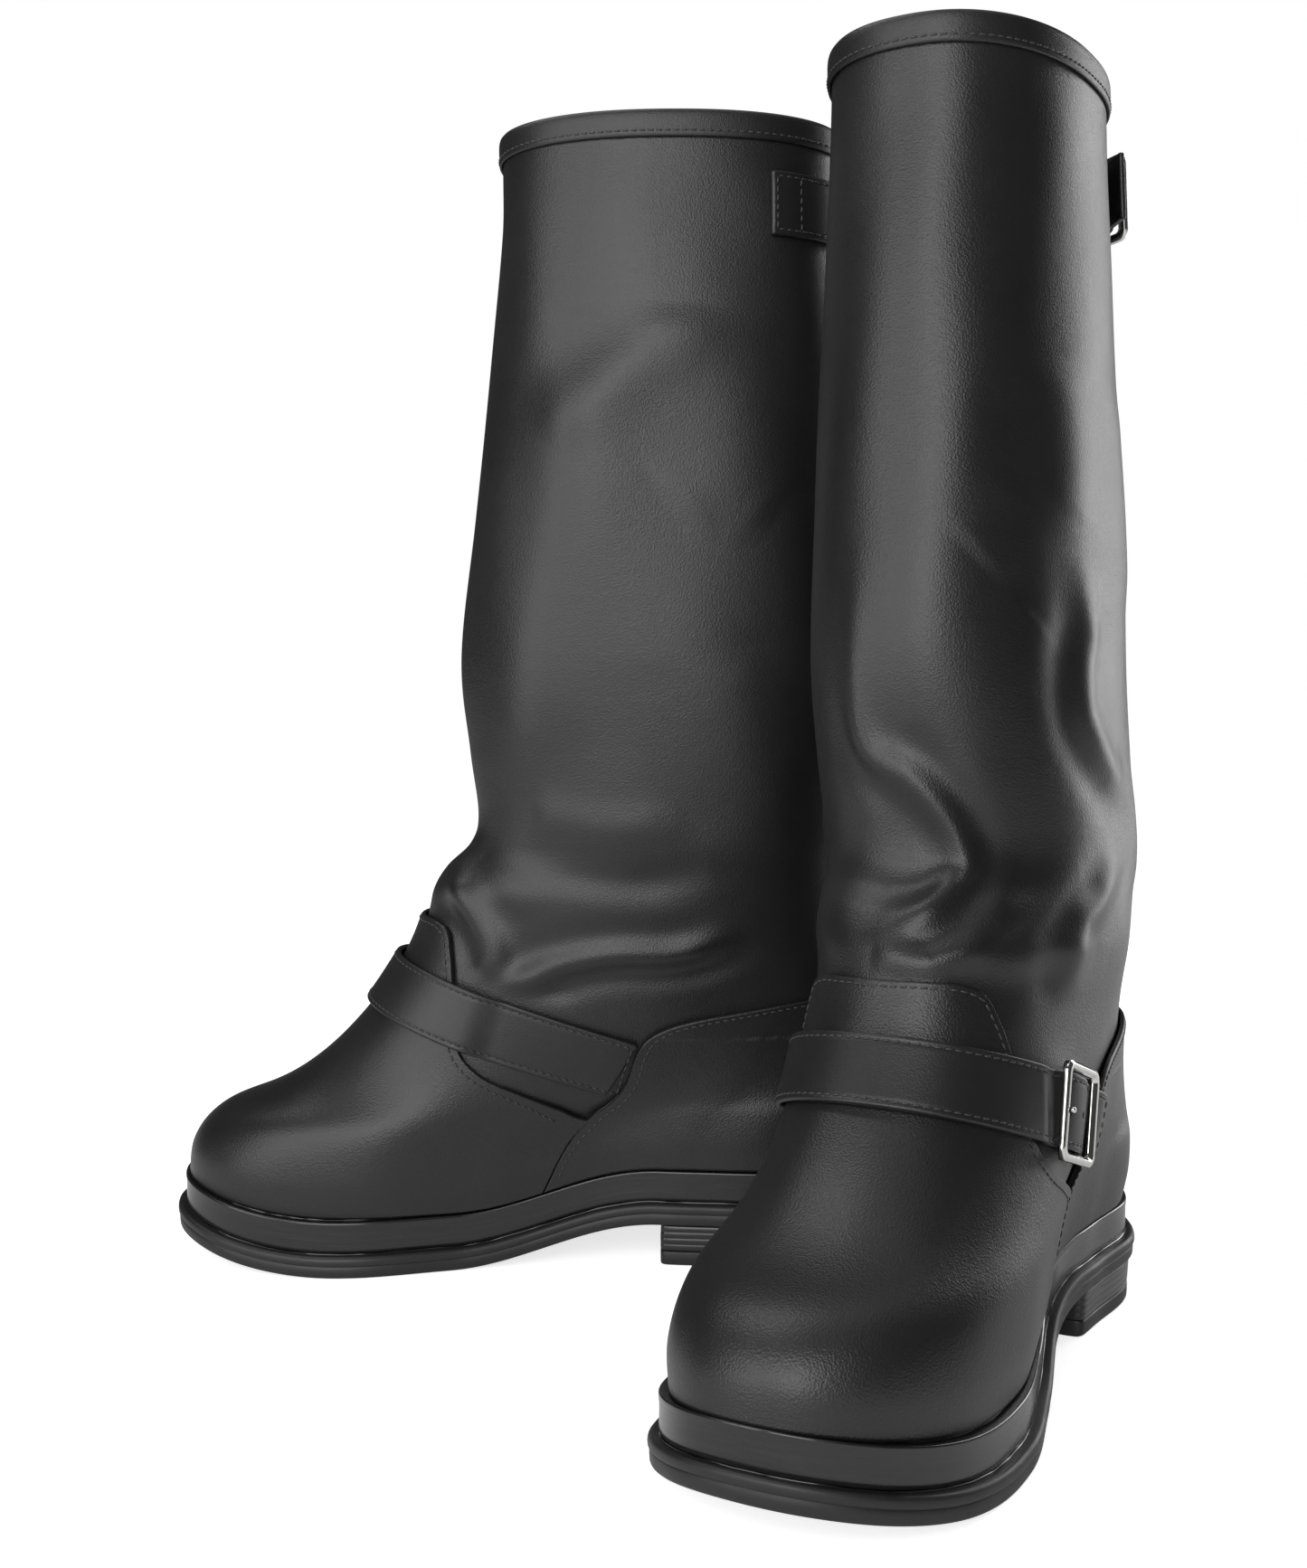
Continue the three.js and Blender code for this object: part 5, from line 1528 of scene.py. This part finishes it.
class BOOTS_OT_soles(bpy.types.Operator):
    """Outsole, midsole, heel and the cement between the layers"""

    bl_idname = "boots.soles"
    bl_label = "Soles"

    def execute(self, context):
        m = materials()
        outsole = [
            (9, 0), (2.2, 0), (1.3, 0.12), (0.8, 0.45), (0.58, 1.0), (0.5, 2.4), (0.46, 4.3),
            (0.6, 4.5), (0.68, 4.62), (0.6, 4.74), (0.18, 4.95), (0.02, 5.3), (-0.05, 6.0), (0.0, 6.8),
            (0.2, 7.5), (0.6, 8.05), (1.2, 8.38), (2.2, 8.48), (4, 8.5), (9, 8.5),
        ]
        base = OUTSOLE + GAP
        midsole = [
            (9, base), (4.2, base), (3.7, base + 0.2), (3.4, base + 0.7), (3.25, base + 2.0),
            (3.3, base + 5.5), (3.3, base + 8.5), (3.12, base + 10.6), (3.05, base + 11.2),
            (3.12, base + 11.65), (3.4, base + 11.92), (3.8, base + 12), (6, base + 12),
            (9, base + 12),
        ]
        for boot in BOOTS:
            obj = sole_layer(boot, "outsole_rubber", outsole, m["outsole"])
            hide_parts(boot.name + "_outsole")
            obj = sole_layer(boot, "midsole_leather", midsole, m["midsole"])
            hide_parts(boot.name + "_midsole")
            rise = lambda x: underside(np.minimum(x, HEEL_LENGTH)) - GAP
            stack = [(4, lambda x: 0 * x + TOP_LIFT + GAP), (2.7, lambda x: 0 * x + TOP_LIFT + GAP),
                     (2.45, lambda x: 0 * x + TOP_LIFT + GAP + 0.25)]
            for share in (0.25, 0.5, 0.75):
                level = lambda x, k=share: TOP_LIFT + GAP + (rise(x) - TOP_LIFT - GAP) * k
                stack += [
                    (2.4 - 0.6 * share, lambda x, f=level: f(x) - 0.12),
                    (2.5 - 0.6 * share, level),
                    (2.38 - 0.6 * share, lambda x, f=level: f(x) + 0.12),
                ]
            stack += [(1.8, lambda x: rise(x) - 0.2), (2.1, rise), (4, rise)]
            obj = make_heel_part(boot, "heel_stack", stack, m["heel"])
            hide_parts(boot.name + "_heel_block")
            lift = [
                (5, 0), (3.4, 0), (2.8, 0.3), (2.5, 0.9), (2.4, 2.5), (2.4, 4.8), (2.6, 5.4),
                (3.2, 5.6), (5, 5.6),
            ]
            levels = [(inset, lambda x, rise=rise: 0 * x + rise) for inset, rise in lift]
            obj = make_heel_part(boot, "heel_lift", levels, m["outsole"])
            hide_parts(boot.name + "_heel_top_lift")
            seed = 3 if boot.side > 0 else 8
            make_cement(boot, "sole_cement", 3.5, 8.6, m["cement"], seed)
            make_cement(boot, "welt_cement", 6.9, 20.85, m["cement"], seed + 1)
        return {"FINISHED"}


class BOOTS_OT_insides(bpy.types.Operator):
    """Sock liner, and finishes for the pieces inside the boots"""

    bl_idname = "boots.insides"
    bl_label = "Insides"

    def execute(self, context):
        m = materials()
        names = {
            "cork_filler": "cork", "insole_board": "board", "shank": "steel",
            "toe_puff": "stiffener", "heel_stiffener": "stiffener",
        }
        for boot in BOOTS:
            level = OUTSOLE + GAP + MIDSOLE + 2 * GAP + 2 + 2.5
            liner = [
                (30, level), (15.4, level), (14.7, level + 0.3), (14.4, level + 0.8),
                (14.7, level + 1.3), (15.6, level + 1.5), (30, level + 1.5),
            ]
            obj = sole_layer(boot, "sock_liner_leather", liner, m["lining"])
            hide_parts(boot.name + "_sock_liner")
            for node, material in names.items():
                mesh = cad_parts[f"{boot.name}_{node}"].data
                mesh.materials.clear()
                mesh.materials.append(m[material])
        return {"FINISHED"}


class BOOTS_PT_panel(bpy.types.Panel):
    """Sizes, finishes and building steps of the boots"""

    bl_idname = "BOOTS_PT_panel"
    bl_label = "Riding Boots"
    bl_space_type = "VIEW_3D"
    bl_region_type = "UI"
    bl_category = "Boots"

    def draw(self, context):
        for group in (context.scene.boot_sizes, context.scene.boot_finish, context.scene.boot_stage):
            for name in group.bl_rna.properties.keys():
                if name not in ("rna_type", "name"):
                    self.layout.prop(group, name)
        for operator in OPERATORS:
            self.layout.operator(operator.bl_idname)


OPERATORS = (
    BOOTS_OT_stage,
    BOOTS_OT_uppers,
    BOOTS_OT_straps,
    BOOTS_OT_buckles,
    BOOTS_OT_soles,
    BOOTS_OT_insides,
)
CLASSES = (BootSizes, BootFinish, BootStage, *OPERATORS, BOOTS_PT_panel)


def register():
    for cls in CLASSES:
        bpy.utils.register_class(cls)
    bpy.types.Scene.boot_sizes = PointerProperty(type=BootSizes)
    bpy.types.Scene.boot_finish = PointerProperty(type=BootFinish)
    bpy.types.Scene.boot_stage = PointerProperty(type=BootStage)


def unregister():
    del bpy.types.Scene.boot_sizes
    del bpy.types.Scene.boot_finish
    del bpy.types.Scene.boot_stage
    for cls in reversed(CLASSES):
        bpy.utils.unregister_class(cls)


def main():
    register()
    bpy.ops.boots.stage()
    bpy.ops.boots.uppers()
    bpy.ops.boots.straps()
    bpy.ops.boots.buckles()
    bpy.ops.boots.soles()
    bpy.ops.boots.insides()


if __name__ == "__main__":
    main()
